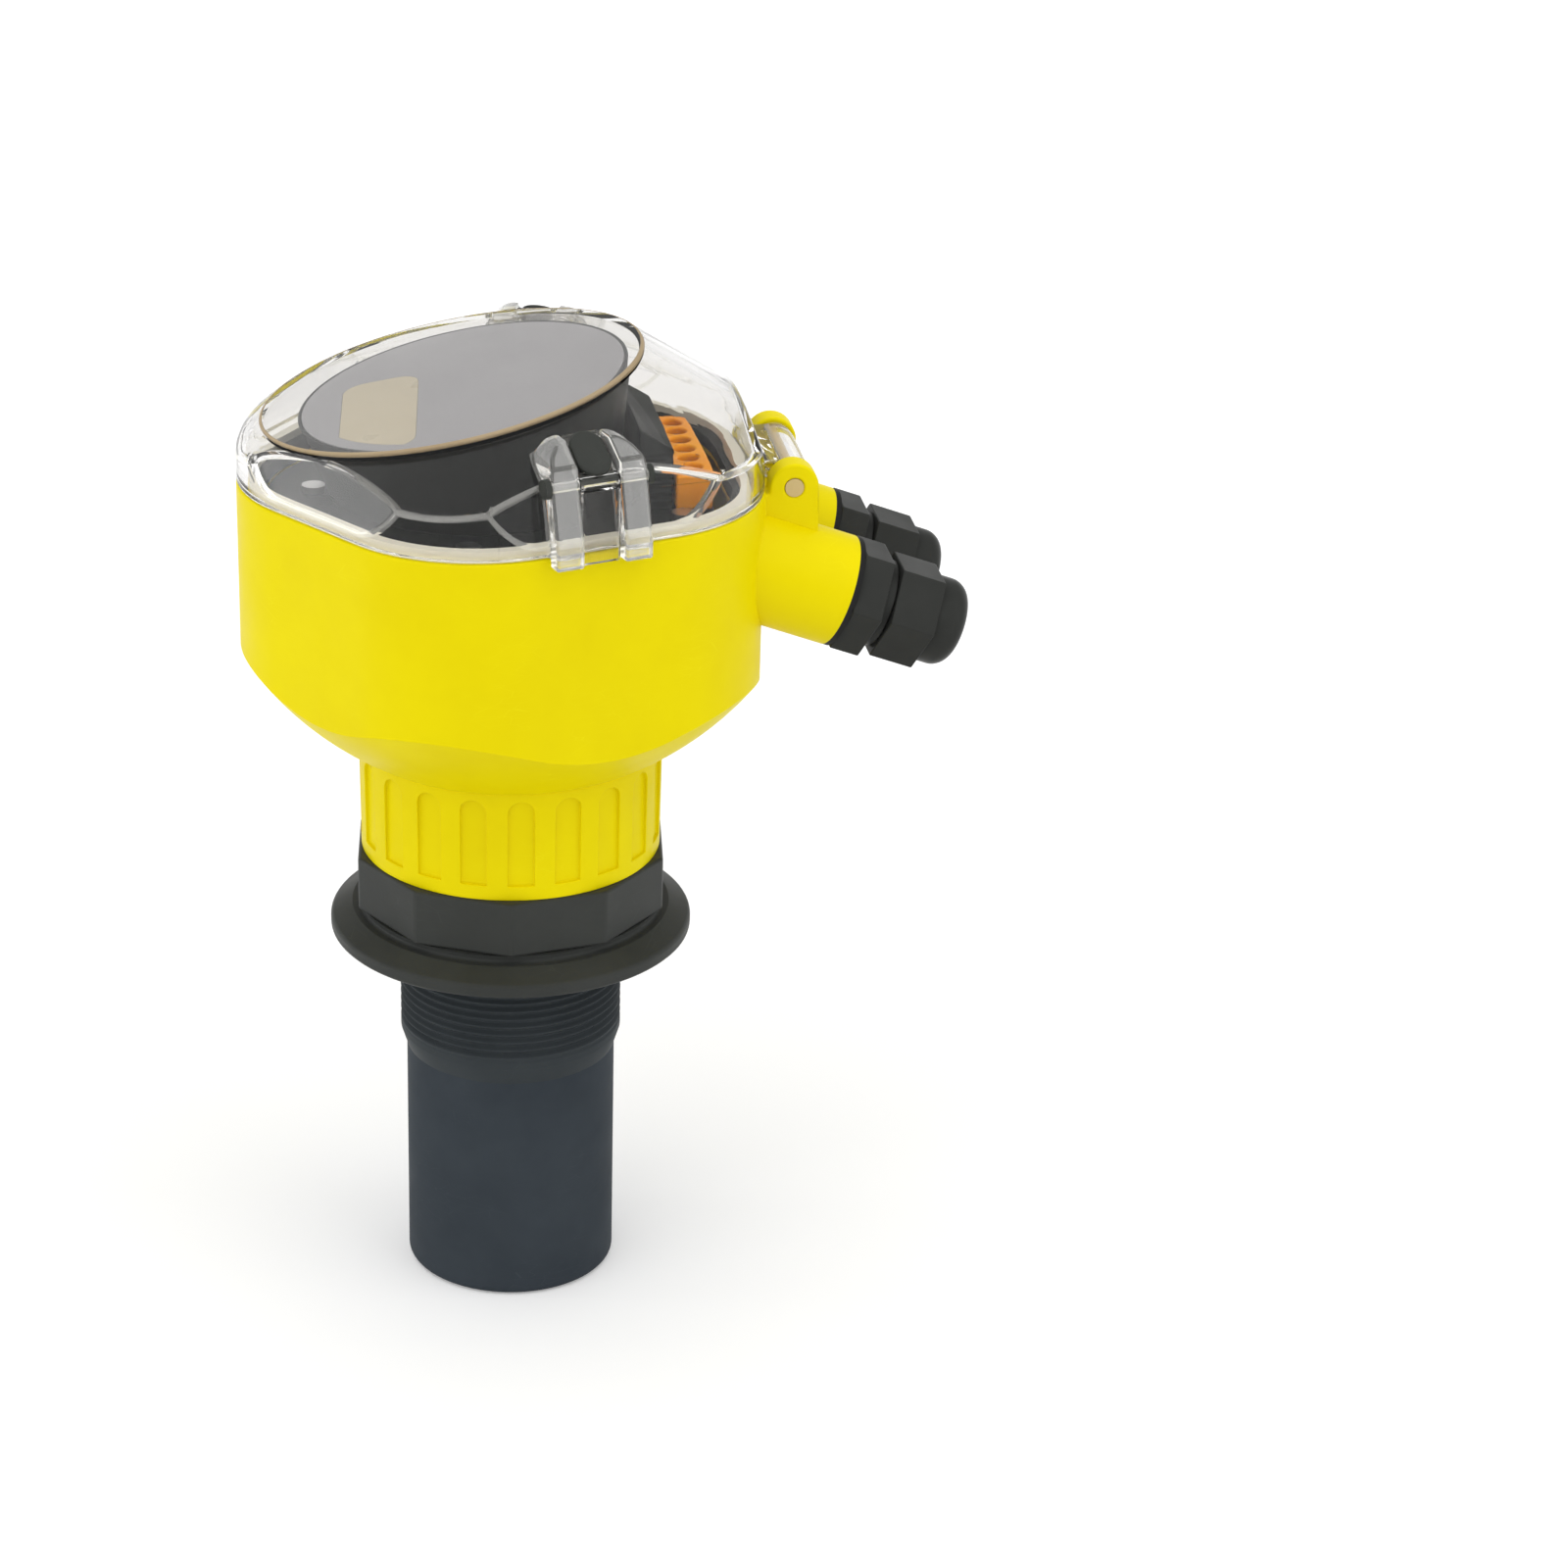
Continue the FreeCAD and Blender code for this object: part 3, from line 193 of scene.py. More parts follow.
class Effects:
    """Node groups that several finishes share: grain, mottle and fine scuffs."""

    def __init__(self) -> None:
        """Build each effect once."""
        self.grain = self._build("moulded_grain", self._grain, [
            GroupPort("Scale", Socket.VALUE, 900.0), GroupPort("Flow", Socket.VALUE, 60.0)],
            [GroupPort("Height", Socket.VALUE), GroupPort("Mask", Socket.VALUE)])
        self.mottle = self._build("colour_mottle", self._mottle, [
            GroupPort("Light", Socket.COLOUR, (0.5, 0.5, 0.5, 1)),
            GroupPort("Dark", Socket.COLOUR, (0.4, 0.4, 0.4, 1)),
            GroupPort("Scale", Socket.VALUE, 30.0)],
            [GroupPort("Color", Socket.COLOUR), GroupPort("Mask", Socket.VALUE)])
        self.scuff = self._build("fine_scuffs", self._scuff, [
            GroupPort("Scale", Socket.VALUE, 120.0), GroupPort("Amount", Socket.VALUE, 0.5)],
            [GroupPort("Mask", Socket.VALUE)])

    @staticmethod
    def _build(name: str, fill: Callable[[Nodes, bpy.types.Node], dict], inputs: Sequence[GroupPort],
               outputs: Sequence[GroupPort]) -> bpy.types.NodeTree:
        """Make one node group.

        Args:
            name: the group's name.
            fill: makes the inner nodes and returns sockets by output name.
            inputs: the group's inputs.
            outputs: the group's outputs.

        Returns:
            The node group.
        """
        tree = bpy.data.node_groups.new(name, "ShaderNodeTree")
        for ports, way in ((inputs, "INPUT"), (outputs, "OUTPUT")):
            for port in ports:
                socket = tree.interface.new_socket(name=port.name, in_out=way, socket_type=port.kind.value)
                if port.default is not None:
                    socket.default_value = port.default
        writer = Nodes(tree)
        entry = tree.nodes.new("NodeGroupInput")
        leave = tree.nodes.new("NodeGroupOutput")
        for port_name, socket in fill(writer, entry).items():
            tree.links.new(socket, leave.inputs[port_name])
        return tree

    @staticmethod
    def _grain(nodes: Nodes, entry: bpy.types.Node) -> dict:
        """Fine spark-eroded grain with slow flow waves under it."""
        place = nodes.add("TexCoord").outputs["Object"]
        fine = nodes.add("TexNoise", {"Vector": place, "Scale": entry.outputs["Scale"], "Detail": 3.0})
        slow = nodes.add("TexNoise", {"Vector": place, "Scale": entry.outputs["Flow"], "Detail": 2.0})
        height = nodes.math("ADD", nodes.math("MULTIPLY", fine.outputs["Fac"], 0.4), slow.outputs["Fac"])
        return {"Height": height, "Mask": slow.outputs["Fac"]}

    @staticmethod
    def _mottle(nodes: Nodes, entry: bpy.types.Node) -> dict:
        """Slow cloudy drift between two shades."""
        place = nodes.add("TexCoord").outputs["Object"]
        cloud = nodes.add("TexNoise", {"Vector": place, "Scale": entry.outputs["Scale"], "Detail": 4.0,
                                       "Roughness": 0.6})
        share = nodes.spread(cloud.outputs["Fac"], 0.3, 0.7)
        return {"Color": nodes.mix(share, entry.outputs["Dark"], entry.outputs["Light"]), "Mask": share}

    @staticmethod
    def _scuff(nodes: Nodes, entry: bpy.types.Node) -> dict:
        """Sparse thin scratches: stretched cells kept only where a second noise is high."""
        place = nodes.add("TexCoord").outputs["Object"]
        stretched = nodes.add("Mapping", {"Vector": place, "Scale": (1.0, 0.35, 4.0),
                                          "Rotation": (0.4, 0.7, 0.2)})
        lines = nodes.add("TexVoronoi", {"Vector": stretched.outputs[0], "Scale": entry.outputs["Scale"]},
                          feature="DISTANCE_TO_EDGE")
        thin = nodes.spread(lines.outputs["Distance"], 0.0, 0.02, 1.0, 0.0)
        where = nodes.add("TexNoise", {"Vector": place, "Scale": 45.0, "Detail": 2.0})
        kept = nodes.spread(where.outputs["Fac"], 0.52, 0.66)
        return {"Mask": nodes.math("MULTIPLY", nodes.math("MULTIPLY", thin, kept), entry.outputs["Amount"])}


@dataclass(frozen=True)
class MouldedFinish:
    """An opaque moulded plastic or rubber: two near shades, grain and a few scuffs."""

    name: str
    light: Colour
    dark: Colour
    roughness: float = 0.4
    rough_change: float = 0.06
    grain: float = 0.05
    grain_scale: float = 900.0
    flow: float = 60.0
    scuffs: float = 0.2
    specular: float = 0.5
    metallic: float = 0.0
    mottle_scale: float = 28.0

    def material(self, effects: Effects) -> bpy.types.Material:
        """Build the material.

        Args:
            effects: the shared node groups.

        Returns:
            The new material.
        """
        made = bpy.data.materials.new(self.name)
        made.use_nodes = True
        nodes = Nodes(made.node_tree)
        shader = made.node_tree.nodes["Principled BSDF"]
        shade = nodes.add("Group", node_tree=effects.mottle)
        shade.inputs["Light"].default_value = (*self.light, 1)
        shade.inputs["Dark"].default_value = (*self.dark, 1)
        shade.inputs["Scale"].default_value = self.mottle_scale
        grain = nodes.add("Group", node_tree=effects.grain)
        grain.inputs["Scale"].default_value = self.grain_scale
        grain.inputs["Flow"].default_value = self.flow
        scuff = nodes.add("Group", node_tree=effects.scuff)
        scuff.inputs["Amount"].default_value = self.scuffs
        pale = tuple(min(1.0, channel * 1.25 + 0.03) for channel in self.light)
        colour = nodes.mix(scuff.outputs["Mask"], shade.outputs["Color"], pale)
        made.node_tree.links.new(colour, shader.inputs["Base Color"])
        rough = nodes.spread(grain.outputs["Mask"], 0.3, 0.7, self.roughness - self.rough_change,
                             self.roughness + self.rough_change)
        made.node_tree.links.new(rough, shader.inputs["Roughness"])
        bump = nodes.add("Bump", {"Strength": self.grain, "Distance": GRAIN_DEPTH,
                                  "Height": grain.outputs["Height"]})
        made.node_tree.links.new(bump.outputs[0], shader.inputs["Normal"])
        shader.inputs["Specular IOR Level"].default_value = self.specular
        shader.inputs["Metallic"].default_value = self.metallic
        return made


@dataclass(frozen=True)
class ClearFinish:
    """Clear moulded plastic with faint flow waves and a few scuffs."""

    name: str
    tint: Colour
    roughness: float = 0.02
    ior: float = 1.49
    waves: float = 0.008
    wave_scale: float = 35.0
    scuffs: float = 0.15
    scuff_blur: float = 0.2
    fine_scale: float = 300.0
    transmission: float = 1.0

    def material(self, effects: Effects) -> bpy.types.Material:
        """Build the material.

        Args:
            effects: the shared node groups.

        Returns:
            The new material.
        """
        made = bpy.data.materials.new(self.name)
        made.use_nodes = True
        nodes = Nodes(made.node_tree)
        shader = made.node_tree.nodes["Principled BSDF"]
        shader.inputs["Base Color"].default_value = (*self.tint, 1)
        shader.inputs["Transmission Weight"].default_value = self.transmission
        shader.inputs["IOR"].default_value = self.ior
        scuff = nodes.add("Group", node_tree=effects.scuff)
        scuff.inputs["Amount"].default_value = self.scuffs
        rough = nodes.spread(scuff.outputs["Mask"], 0.0, 1.0, self.roughness,
                             self.roughness + self.scuff_blur)
        made.node_tree.links.new(rough, shader.inputs["Roughness"])
        grain = nodes.add("Group", node_tree=effects.grain)
        grain.inputs["Scale"].default_value = self.fine_scale
        grain.inputs["Flow"].default_value = self.wave_scale
        bump = nodes.add("Bump", {"Strength": self.waves, "Distance": WAVE_DEPTH,
                                  "Height": grain.outputs["Height"]})
        made.node_tree.links.new(bump.outputs[0], shader.inputs["Normal"])
        return made


YELLOW = MouldedFinish("yellow_moulding", linear(238, 221, 0), linear(232, 213, 0), 0.42, grain=0.04,
                       specular=0.06)
COLLAR = MouldedFinish("black_collar_moulding", linear(59, 61, 59), linear(50, 52, 50), 0.46, grain=0.08,
                       specular=0.14)
TUBE = MouldedFinish("dark_tube_moulding", linear(62, 68, 74), linear(54, 60, 66), 0.55, grain=0.06,
                     specular=0.03)
SLEEVE = MouldedFinish("dark_sleeve_moulding", linear(62, 67, 70), linear(54, 59, 62), 0.5, grain=0.06,
                       specular=0.06)
GLAND = MouldedFinish("black_gland_moulding", linear(58, 59, 57), linear(49, 50, 48), 0.34, grain=0.05,
                      specular=0.05)
DECK = MouldedFinish("dark_deck_moulding", linear(32, 34, 33), linear(24, 27, 26), 0.5, grain=0.015,
                     specular=0.1)
FACE = MouldedFinish("grey_face_foil", linear(162, 161, 164), linear(154, 153, 156), 0.55, grain=0.02,
                     scuffs=0.05, specular=0.15)
SCREEN = MouldedFinish("beige_screen", linear(197, 186, 159), linear(187, 175, 147), 0.3, grain=0.02,
                       scuffs=0.0, specular=0.2)
AMBER = MouldedFinish("amber_moulding", linear(255, 172, 0), linear(244, 146, 0), 0.4, specular=0.15)
SEAL = MouldedFinish("white_silicone", linear(248, 244, 228), linear(240, 235, 218), 0.5, scuffs=0.05,
                     specular=0.2)
BLACK_RUBBER = MouldedFinish("black_rubber", linear(36, 36, 36), linear(28, 28, 28), 0.65, grain=0.1,
                             specular=0.15)
STEEL = MouldedFinish("plated_steel", linear(196, 196, 196), linear(176, 176, 178), 0.3, metallic=1.0)
BRASS = MouldedFinish("terminal_brass", linear(205, 175, 110), linear(188, 156, 92), 0.32, metallic=1.0)
BOARD = MouldedFinish("green_board", linear(34, 96, 58), linear(26, 80, 46), 0.35)
MODULE = MouldedFinish("black_module", linear(34, 34, 36), linear(28, 28, 30), 0.5)
RESIN = MouldedFinish("cast_resin", linear(206, 194, 170), linear(192, 178, 152), 0.5)
CERAMIC = MouldedFinish("fired_ceramic", linear(216, 210, 194), linear(204, 198, 182), 0.45)
PAD = MouldedFinish("dark_thumb_pad", linear(56, 58, 54), linear(46, 48, 45), 0.45, specular=0.2)
PIN = MouldedFinish("beige_pin_moulding", linear(214, 192, 140), linear(198, 174, 120), 0.4, specular=0.2)
BEAD = MouldedFinish("tan_bond_line", linear(176, 156, 124), linear(160, 140, 108), 0.45, specular=0.2)
CLEAR = ClearFinish("clear_lid_moulding", (0.88, 0.87, 0.855), ior=1.25)
FROSTED = ClearFinish("frosted_latch_moulding", (0.97, 0.965, 0.935), roughness=0.06, waves=1.0,
                      wave_scale=110.0, transmission=0.76)
# Pale, partly opaque finish for the lid's rounded creases: a painted highlight where the thick edges catch
# light.
EDGE = ClearFinish("bright_lid_edges", (0.96, 0.95, 0.9), roughness=0.08, transmission=0.9)

NODE_FINISHES = {
    "thread_sleeve": SLEEVE, "flange_collar": COLLAR, "sensor_tube": TUBE, "matching_layer": RESIN,
    "piezo_disc": CERAMIC, "isolation_ring": BLACK_RUBBER, "potting_block": MODULE,
    "sensor_lead": BLACK_RUBBER, "neck_ring": YELLOW, "neck_seal": BLACK_RUBBER, "housing": YELLOW,
    "lid_seal": SEAL, "hinge_pin": PIN, "main_board": BOARD, "power_module": MODULE,
    "board_screws": STEEL, "inner_cover": DECK, "cover_screws": STEEL, "display_module": DECK,
    "display_face": FACE, "lcd_window": SCREEN, "terminal_hood": DECK, "terminal_block": AMBER,
    "terminal_screws": BRASS, "lid": CLEAR,
    **both("gland_washer", BLACK_RUBBER), **both("gland_body", GLAND), **both("gland_nut", GLAND),
    **both("gland_seal", BLACK_RUBBER), **both("latch_pin", PAD), **both("latch_clip", CLEAR),
    **both("latch_pad", PAD),
}


class Paints:
    """Materials made once from their finishes."""

    def __init__(self) -> None:
        """Start with the shared effects and no materials."""
        self.effects = Effects()
        self.made: dict[str, bpy.types.Material] = {}

    def get(self, finish) -> bpy.types.Material:
        """The material of a finish, made on first use."""
        if finish.name not in self.made:
            self.made[finish.name] = finish.material(self.effects)
        return self.made[finish.name]

    def dress(self, thing: bpy.types.Object, finish) -> None:
        """Give an object one material all over."""
        thing.data.materials.clear()
        thing.data.materials.append(self.get(finish))


def grid_mesh(name: str, points: np.ndarray, closed_rows: bool = False) -> bpy.types.Mesh:
    """Make a mesh of a grid of points whose columns run round and close on themselves.

    Args:
        name: the mesh's name.
        points: places in metres, as rows by columns by 3.
        closed_rows: whether the last row joins the first.

    Returns:
        The new mesh, shaded smooth.
    """
    rows, columns = points.shape[:2]
    index = np.arange(rows * columns).reshape(rows, columns)
    index = np.hstack([index, index[:, :1]])
    if closed_rows:
        index = np.vstack([index, index[:1]])
    quads = np.stack([index[:-1, :-1], index[:-1, 1:], index[1:, 1:], index[1:, :-1]], axis=-1)
    quads = quads.reshape(-1, 4)
    mesh = bpy.data.meshes.new(name)
    mesh.vertices.add(rows * columns)
    mesh.vertices.foreach_set("co", points.astype(np.float32).ravel())
    mesh.loops.add(quads.size)
    mesh.loops.foreach_set("vertex_index", quads.astype(np.int32).ravel())
    mesh.polygons.add(len(quads))
    mesh.polygons.foreach_set("loop_start", np.arange(0, quads.size, 4, dtype=np.int32))
    mesh.polygons.foreach_set("use_smooth", np.ones(len(quads), dtype=bool))
    mesh.update(calc_edges=True)
    mesh.validate()
    return mesh


def column(items, name: str, kind: type = np.float32, width: int = 1) -> np.ndarray:
    """Read one attribute of all elements of a kind.

    Args:
        items: a mesh's vertices, edges, loops or polygons, or the values of an attribute layer.
        name: the attribute.
        kind: the type of its numbers.
        width: how many numbers an element has.

    Returns:
        The numbers by element, as rows where an element has several.
    """
    flat = np.empty(len(items) * width, dtype=kind)
    items.foreach_get(name, flat)
    return flat.reshape(-1, width) if width > 1 else flat


def edge_angles(mesh: bpy.types.Mesh) -> np.ndarray:
    """Work out the angle between the two faces at each edge.

    Args:
        mesh: a mesh.

    Returns:
        Degrees by edge, and zero where an edge doesn't join two faces.
    """
    edges = column(mesh.loops, "edge_index", np.int32)
    corners = column(mesh.polygons, "loop_total", np.int32)
    normals = column(mesh.polygons, "normal", width=3)
    faces = np.repeat(np.arange(len(corners)), corners)[np.argsort(edges, kind="stable")]
    count = np.bincount(edges, minlength=len(mesh.edges))
    paired = count == 2
    first = (np.cumsum(count) - count)[paired]
    angles = np.zeros(len(mesh.edges))
    cosine = np.sum(normals[faces[first]] * normals[faces[first + 1]], axis=1)
    angles[paired] = np.degrees(np.arccos(np.clip(cosine, -1.0, 1.0)))
    return angles


@dataclass(frozen=True)
class Softening:
    """How far a node's edges are rounded, from which angle an edge counts as one, and above which level."""

    width: float
    angle: float = 32.0
    steps: int = 3
    above: float = -math.inf

    def weights(self, mesh: bpy.types.Mesh) -> np.ndarray:
        """Choose the edges of a mesh that are rounded.

        Args:
            mesh: the mesh, in metres.

        Returns:
            One for each edge that is rounded, else zero.
        """
        ends = column(mesh.edges, "vertices", np.int32, 2)
        lowest = column(mesh.vertices, "co", width=3)[ends, 2].min(axis=1) / MM
        return ((edge_angles(mesh) >= self.angle) & (lowest > self.above)).astype(np.float32)


SOFT_EDGES = {
    "housing": Softening(0.6, angle=55.0, above=119.0), "neck_ring": Softening(0.2),
    "flange_collar": Softening(0.8), "lid": Softening(0.7, angle=12.0), "terminal_hood": Softening(0.5),
    "terminal_block": Softening(0.6), "display_module": Softening(0.4),
    **both("gland_body", Softening(0.4, angle=50.0)), **both("gland_nut", Softening(0.3, angle=50.0)),
    **both("latch_clip", Softening(0.5)),
}


@dataclass
class Assembly:
    """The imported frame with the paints, and where each new piece belongs."""

    frame: dict
    paints: Paints
    bodies: dict[str, str] = field(init=False)
    slots: dict[str, str] = field(init=False)

    def __post_init__(self) -> None:
        """Read each node's body and material slot from the record."""
        record = self.frame["record"]
        self.bodies = {node: body for body, nodes in record["behaviour"]["bodies"].items() for node in nodes}
        self.slots = {row["node"]: row["material_slot"] for row in record["subparts"]}

    def add(self, mesh: bpy.types.Mesh, name: str, node: str, finish) -> bpy.types.Object:
        """Make a new piece that moves with a CAD node.

        Args:
            mesh: the piece's mesh, with its place in its vertices.
            name: the piece's name.
            node: the CAD node whose body it shares.
            finish: its finish.

        Returns:
            The new piece.
        """
        piece = bpy.data.objects.new(name, mesh)
        bpy.context.scene.collection.objects.link(piece)
        self.paints.dress(piece, finish)
        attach(piece, self.bodies[node])
        log.info("made %s", name)
        return piece

    def stand_in(self, mesh: bpy.types.Mesh, node: str) -> bpy.types.Object:
        """Show a mesh in place of a CAD node.

        Args:
            mesh: the new piece's mesh, with its place in its vertices.
            node: the CAD node that it stands for.

        Returns:
            The new piece, riding on the node's body in the node's finish.
        """
        piece = self.add(mesh, node + "_piece", node, NODE_FINISHES[node])
        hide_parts(node)
        return piece

    def soften(self, node: str, softening: Softening) -> bpy.types.Object:
        """Stand a copy with rounded edges in for a node.

        Args:
            node: the CAD node.
            softening: the rounding.

        Returns:
            The new piece.
        """
        mesh = self.frame["nodes"][node].data.copy()
        work = bmesh.new()
        work.from_mesh(mesh)
        bmesh.ops.remove_doubles(work, verts=work.verts, dist=MERGE_DISTANCE)
        bmesh.ops.dissolve_limit(work, angle_limit=math.radians(FLAT_ANGLE), verts=work.verts,
                                 edges=work.edges)
        work.to_mesh(mesh)
        work.free()
        for name in IMPORTED_SHADING:
            if name in mesh.attributes:
                mesh.attributes.remove(mesh.attributes[name])
        mesh.polygons.foreach_set("use_smooth", np.ones(len(mesh.polygons), dtype=bool))
        mesh.set_sharp_from_angle(angle=math.radians(CREASE_ANGLE))
        weight = mesh.attributes.new(BEVEL_WEIGHT, "FLOAT", "EDGE")
        weight.data.foreach_set("value", softening.weights(mesh))
        piece = self.stand_in(mesh, node)
        bevel = piece.modifiers.new("soft_edges", "BEVEL")
        bevel.width = softening.width * MM
        bevel.segments = softening.steps
        bevel.limit_method = "WEIGHT"
        bevel.use_clamp_overlap = False
        bevel.miter_outer = "MITER_ARC"
        weighted = piece.modifiers.new("flat_faces", "WEIGHTED_NORMAL")
        weighted.keep_sharp = True
        return piece


@dataclass(frozen=True)
class ThreadForm:
    """The process thread: a fine helical ridge round the sleeve, in millimetres."""

    pitch: float = 2.309
    depth: float = 1.1
    first: float = -8.2
    last: float = -28.5
    fade: float = 2.0
    flank_gain: float = 1.25
    bore: float = 25.4
    neck_step: float = 0.85
    foot_step: float = 1.6
    foot_length: float = 5.0
    crease: float = 50.0
    columns: int = 180
    step: float = 0.2

    def build(self, assembly: Assembly) -> bpy.types.Object:
        """Make the threaded sleeve and stand it in for its node.

        Args:
            assembly: the frame.

        Returns:
            The new piece.
        """
        low, high = (np.array(corner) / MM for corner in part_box("thread_sleeve"))
        radius = high[0]
        neck = radius - self.neck_step
        foot = radius - self.foot_step
        lead = low[2] + self.foot_length
        outer = np.arange(0.0, lead, -self.step)
        levels = np.concatenate([[high[2], high[2], 0.0], outer, [lead, low[2], low[2]]])
        radii = np.concatenate([[self.bore, neck, neck], np.full(len(outer), radius),
                                [radius, foot, self.bore]])
        angle = np.linspace(0.0, 2.0 * np.pi, self.columns, endpoint=False)
        turn = levels[:, None] / self.pitch - angle[None, :] / (2.0 * np.pi)
        ridge = np.abs(2.0 * (turn - np.floor(turn)) - 1.0)
        fade_in = np.clip((self.first - levels) / self.fade, 0, 1)
        fade_out = np.clip((levels - self.last) / self.fade, 0, 1)
        groove = np.clip(self.flank_gain * (ridge - 0.5) + 0.5, 0.0, 1.0)
        round_ = radii[:, None] - self.depth * (fade_in * fade_out)[:, None] * groove
        points = np.stack([round_ * np.cos(angle), round_ * np.sin(angle),
                           np.broadcast_to(levels[:, None], round_.shape)], axis=-1)
        mesh = grid_mesh("thread", points[::-1] * MM, closed_rows=True)
        mesh.set_sharp_from_angle(angle=math.radians(self.crease))
        return assembly.stand_in(mesh, "thread_sleeve")


@dataclass(frozen=True)
class LidForm:
    """The lid's driving sizes as the solids have them, in millimetres and degrees."""

    level: float = 127.9
    shoulder: float = 10.75
    reach: float = 71.03
    cone: float = 33.0
    window_angle: float = 11.5
    window_place: float = -12.8
    window_level: float = 153.6
    side_distance: float = 61.4
    lean: float = 13.5
    lean_height: float = 3.0
    latch_angle: float = 72.0
    latch_shift: float = 4.0
    latch_half: float = 13.3
    latch_inner: float = 48.0
    skin: float = 0.25
    wall: float = 3.2
    bead: float = 0.8
    bead_middle: float = 0.5
    bead_sway: float = 0.8
    bead_least: float = 0.15
    bead_sink: float = 0.7
    bead_inset: float = 0.6
    bead_columns: int = 10
    bead_rows: int = 160

    def cone_level(self, radius: np.ndarray) -> np.ndarray:
        """Level of the lid's cone at a radius."""
        return self.level + self.shoulder + (self.reach - radius) * math.tan(math.radians(self.cone))

    def window_edge(self, angle: np.ndarray) -> np.ndarray:
        """The closed line where the sloping window meets the cone.

        Args:
            angle: angles round the sensor's axis.

        Returns:
            A point for each angle.
        """
        slope = math.tan(math.radians(self.window_angle))
        fall = math.tan(math.radians(self.cone))
        drop = self.cone_level(0.0) - self.window_level + self.window_place * slope
        radius = drop / (fall + slope * np.cos(angle))
        return np.stack([radius * np.cos(angle), radius * np.sin(angle), self.cone_level(radius)], axis=-1)

    def bond_line(self, assembly: Assembly) -> bpy.types.Object:
        """Make the tan bond line round the window, as a bead along the window's edge.

        Args:
            assembly: the frame.

        Returns:
            The new piece, riding on the lid.
        """
        angle = np.linspace(0.0, 2.0 * np.pi, self.bead_rows, endpoint=False)
        path = self.window_edge(angle)
        share = np.clip(self.bead_middle - self.bead_sway * np.sin(angle), self.bead_least, 1.0)
        bead = self.bead * share[:, None]
        along = np.roll(path, -1, axis=0) - np.roll(path, 1, axis=0)
        along /= np.linalg.norm(along, axis=1, keepdims=True)
        slope = math.radians(self.window_angle)
        up = np.array([-math.sin(slope), 0.0, math.cos(slope)])
        out = np.cross(along, up)
        turn = np.linspace(0.0, 2.0 * np.pi, self.bead_columns, endpoint=False)
        ring = np.cos(turn)[None, :, None] * out[:, None, :] + np.sin(turn)[None, :, None] * up
        middle = path - bead * self.bead_sink * (up + self.bead_inset * out)
        points = (middle[:, None, :] + bead[:, None] * ring) * MM
        mesh = grid_mesh("window_bond_line", points, closed_rows=True)
        return assembly.add(mesh, "window_bond_line", "lid", BEAD)

    def keep_window_sharp(self, lid: bpy.types.Object) -> None:
        """Leave the window's edges out of the lid's rounding, where the bond line runs.

        Args:
            lid: the piece that stands for the lid.
        """
        mesh = lid.data
        x, _, z = column(mesh.vertices, "co", width=3).T / MM
        plane = self.window_level + math.tan(math.radians(self.window_angle)) * (x - self.window_place)
        ends = column(mesh.edges, "vertices", np.int32, 2)
        on_window = ((z < plane + self.skin) & (z > plane - self.wall))[ends].all(axis=1)
        weight = mesh.attributes[BEVEL_WEIGHT]
        kept = np.where(on_window, 0.0, column(weight.data, "value"))
        weight.data.foreach_set("value", kept.astype(np.float32))

    def finish_mouldings(self, lid: bpy.types.Object, paints: Paints) -> None:
        """Give the lid's latch posts their frosted finish, and its rounded creases a pale, partly opaque
        finish that paints a highlight along them.

        Args:
            lid: the piece that stands for the lid.
            paints: the materials.
        """
        mesh = lid.data
        mesh.materials.append(paints.get(FROSTED))
        mesh.materials.append(paints.get(EDGE))
        # The bevel's faces take the pale finish: a painted highlight along the lid's creases.
        lid.modifiers["soft_edges"].material = 2
        x, y, z = column(mesh.polygons, "center", width=3).T / MM
        turn = math.radians(self.latch_angle)
        out = x * math.cos(turn) + np.abs(y) * math.sin(turn)
        across = np.abs(y) * math.cos(turn) - x * math.sin(turn) - self.latch_shift
        leaning = np.maximum(z - self.level - self.lean_height, 0.0) * math.tan(math.radians(self.lean))
        past_wall = out > self.side_distance - leaning + self.skin
        proud = past_wall | (z > self.cone_level(np.hypot(x, y)) + self.skin)
        posts = proud & (np.abs(across) < self.latch_half) & (out > self.latch_inner)
        mesh.polygons.foreach_set("material_index", posts.astype(np.int32))
        mesh.update()


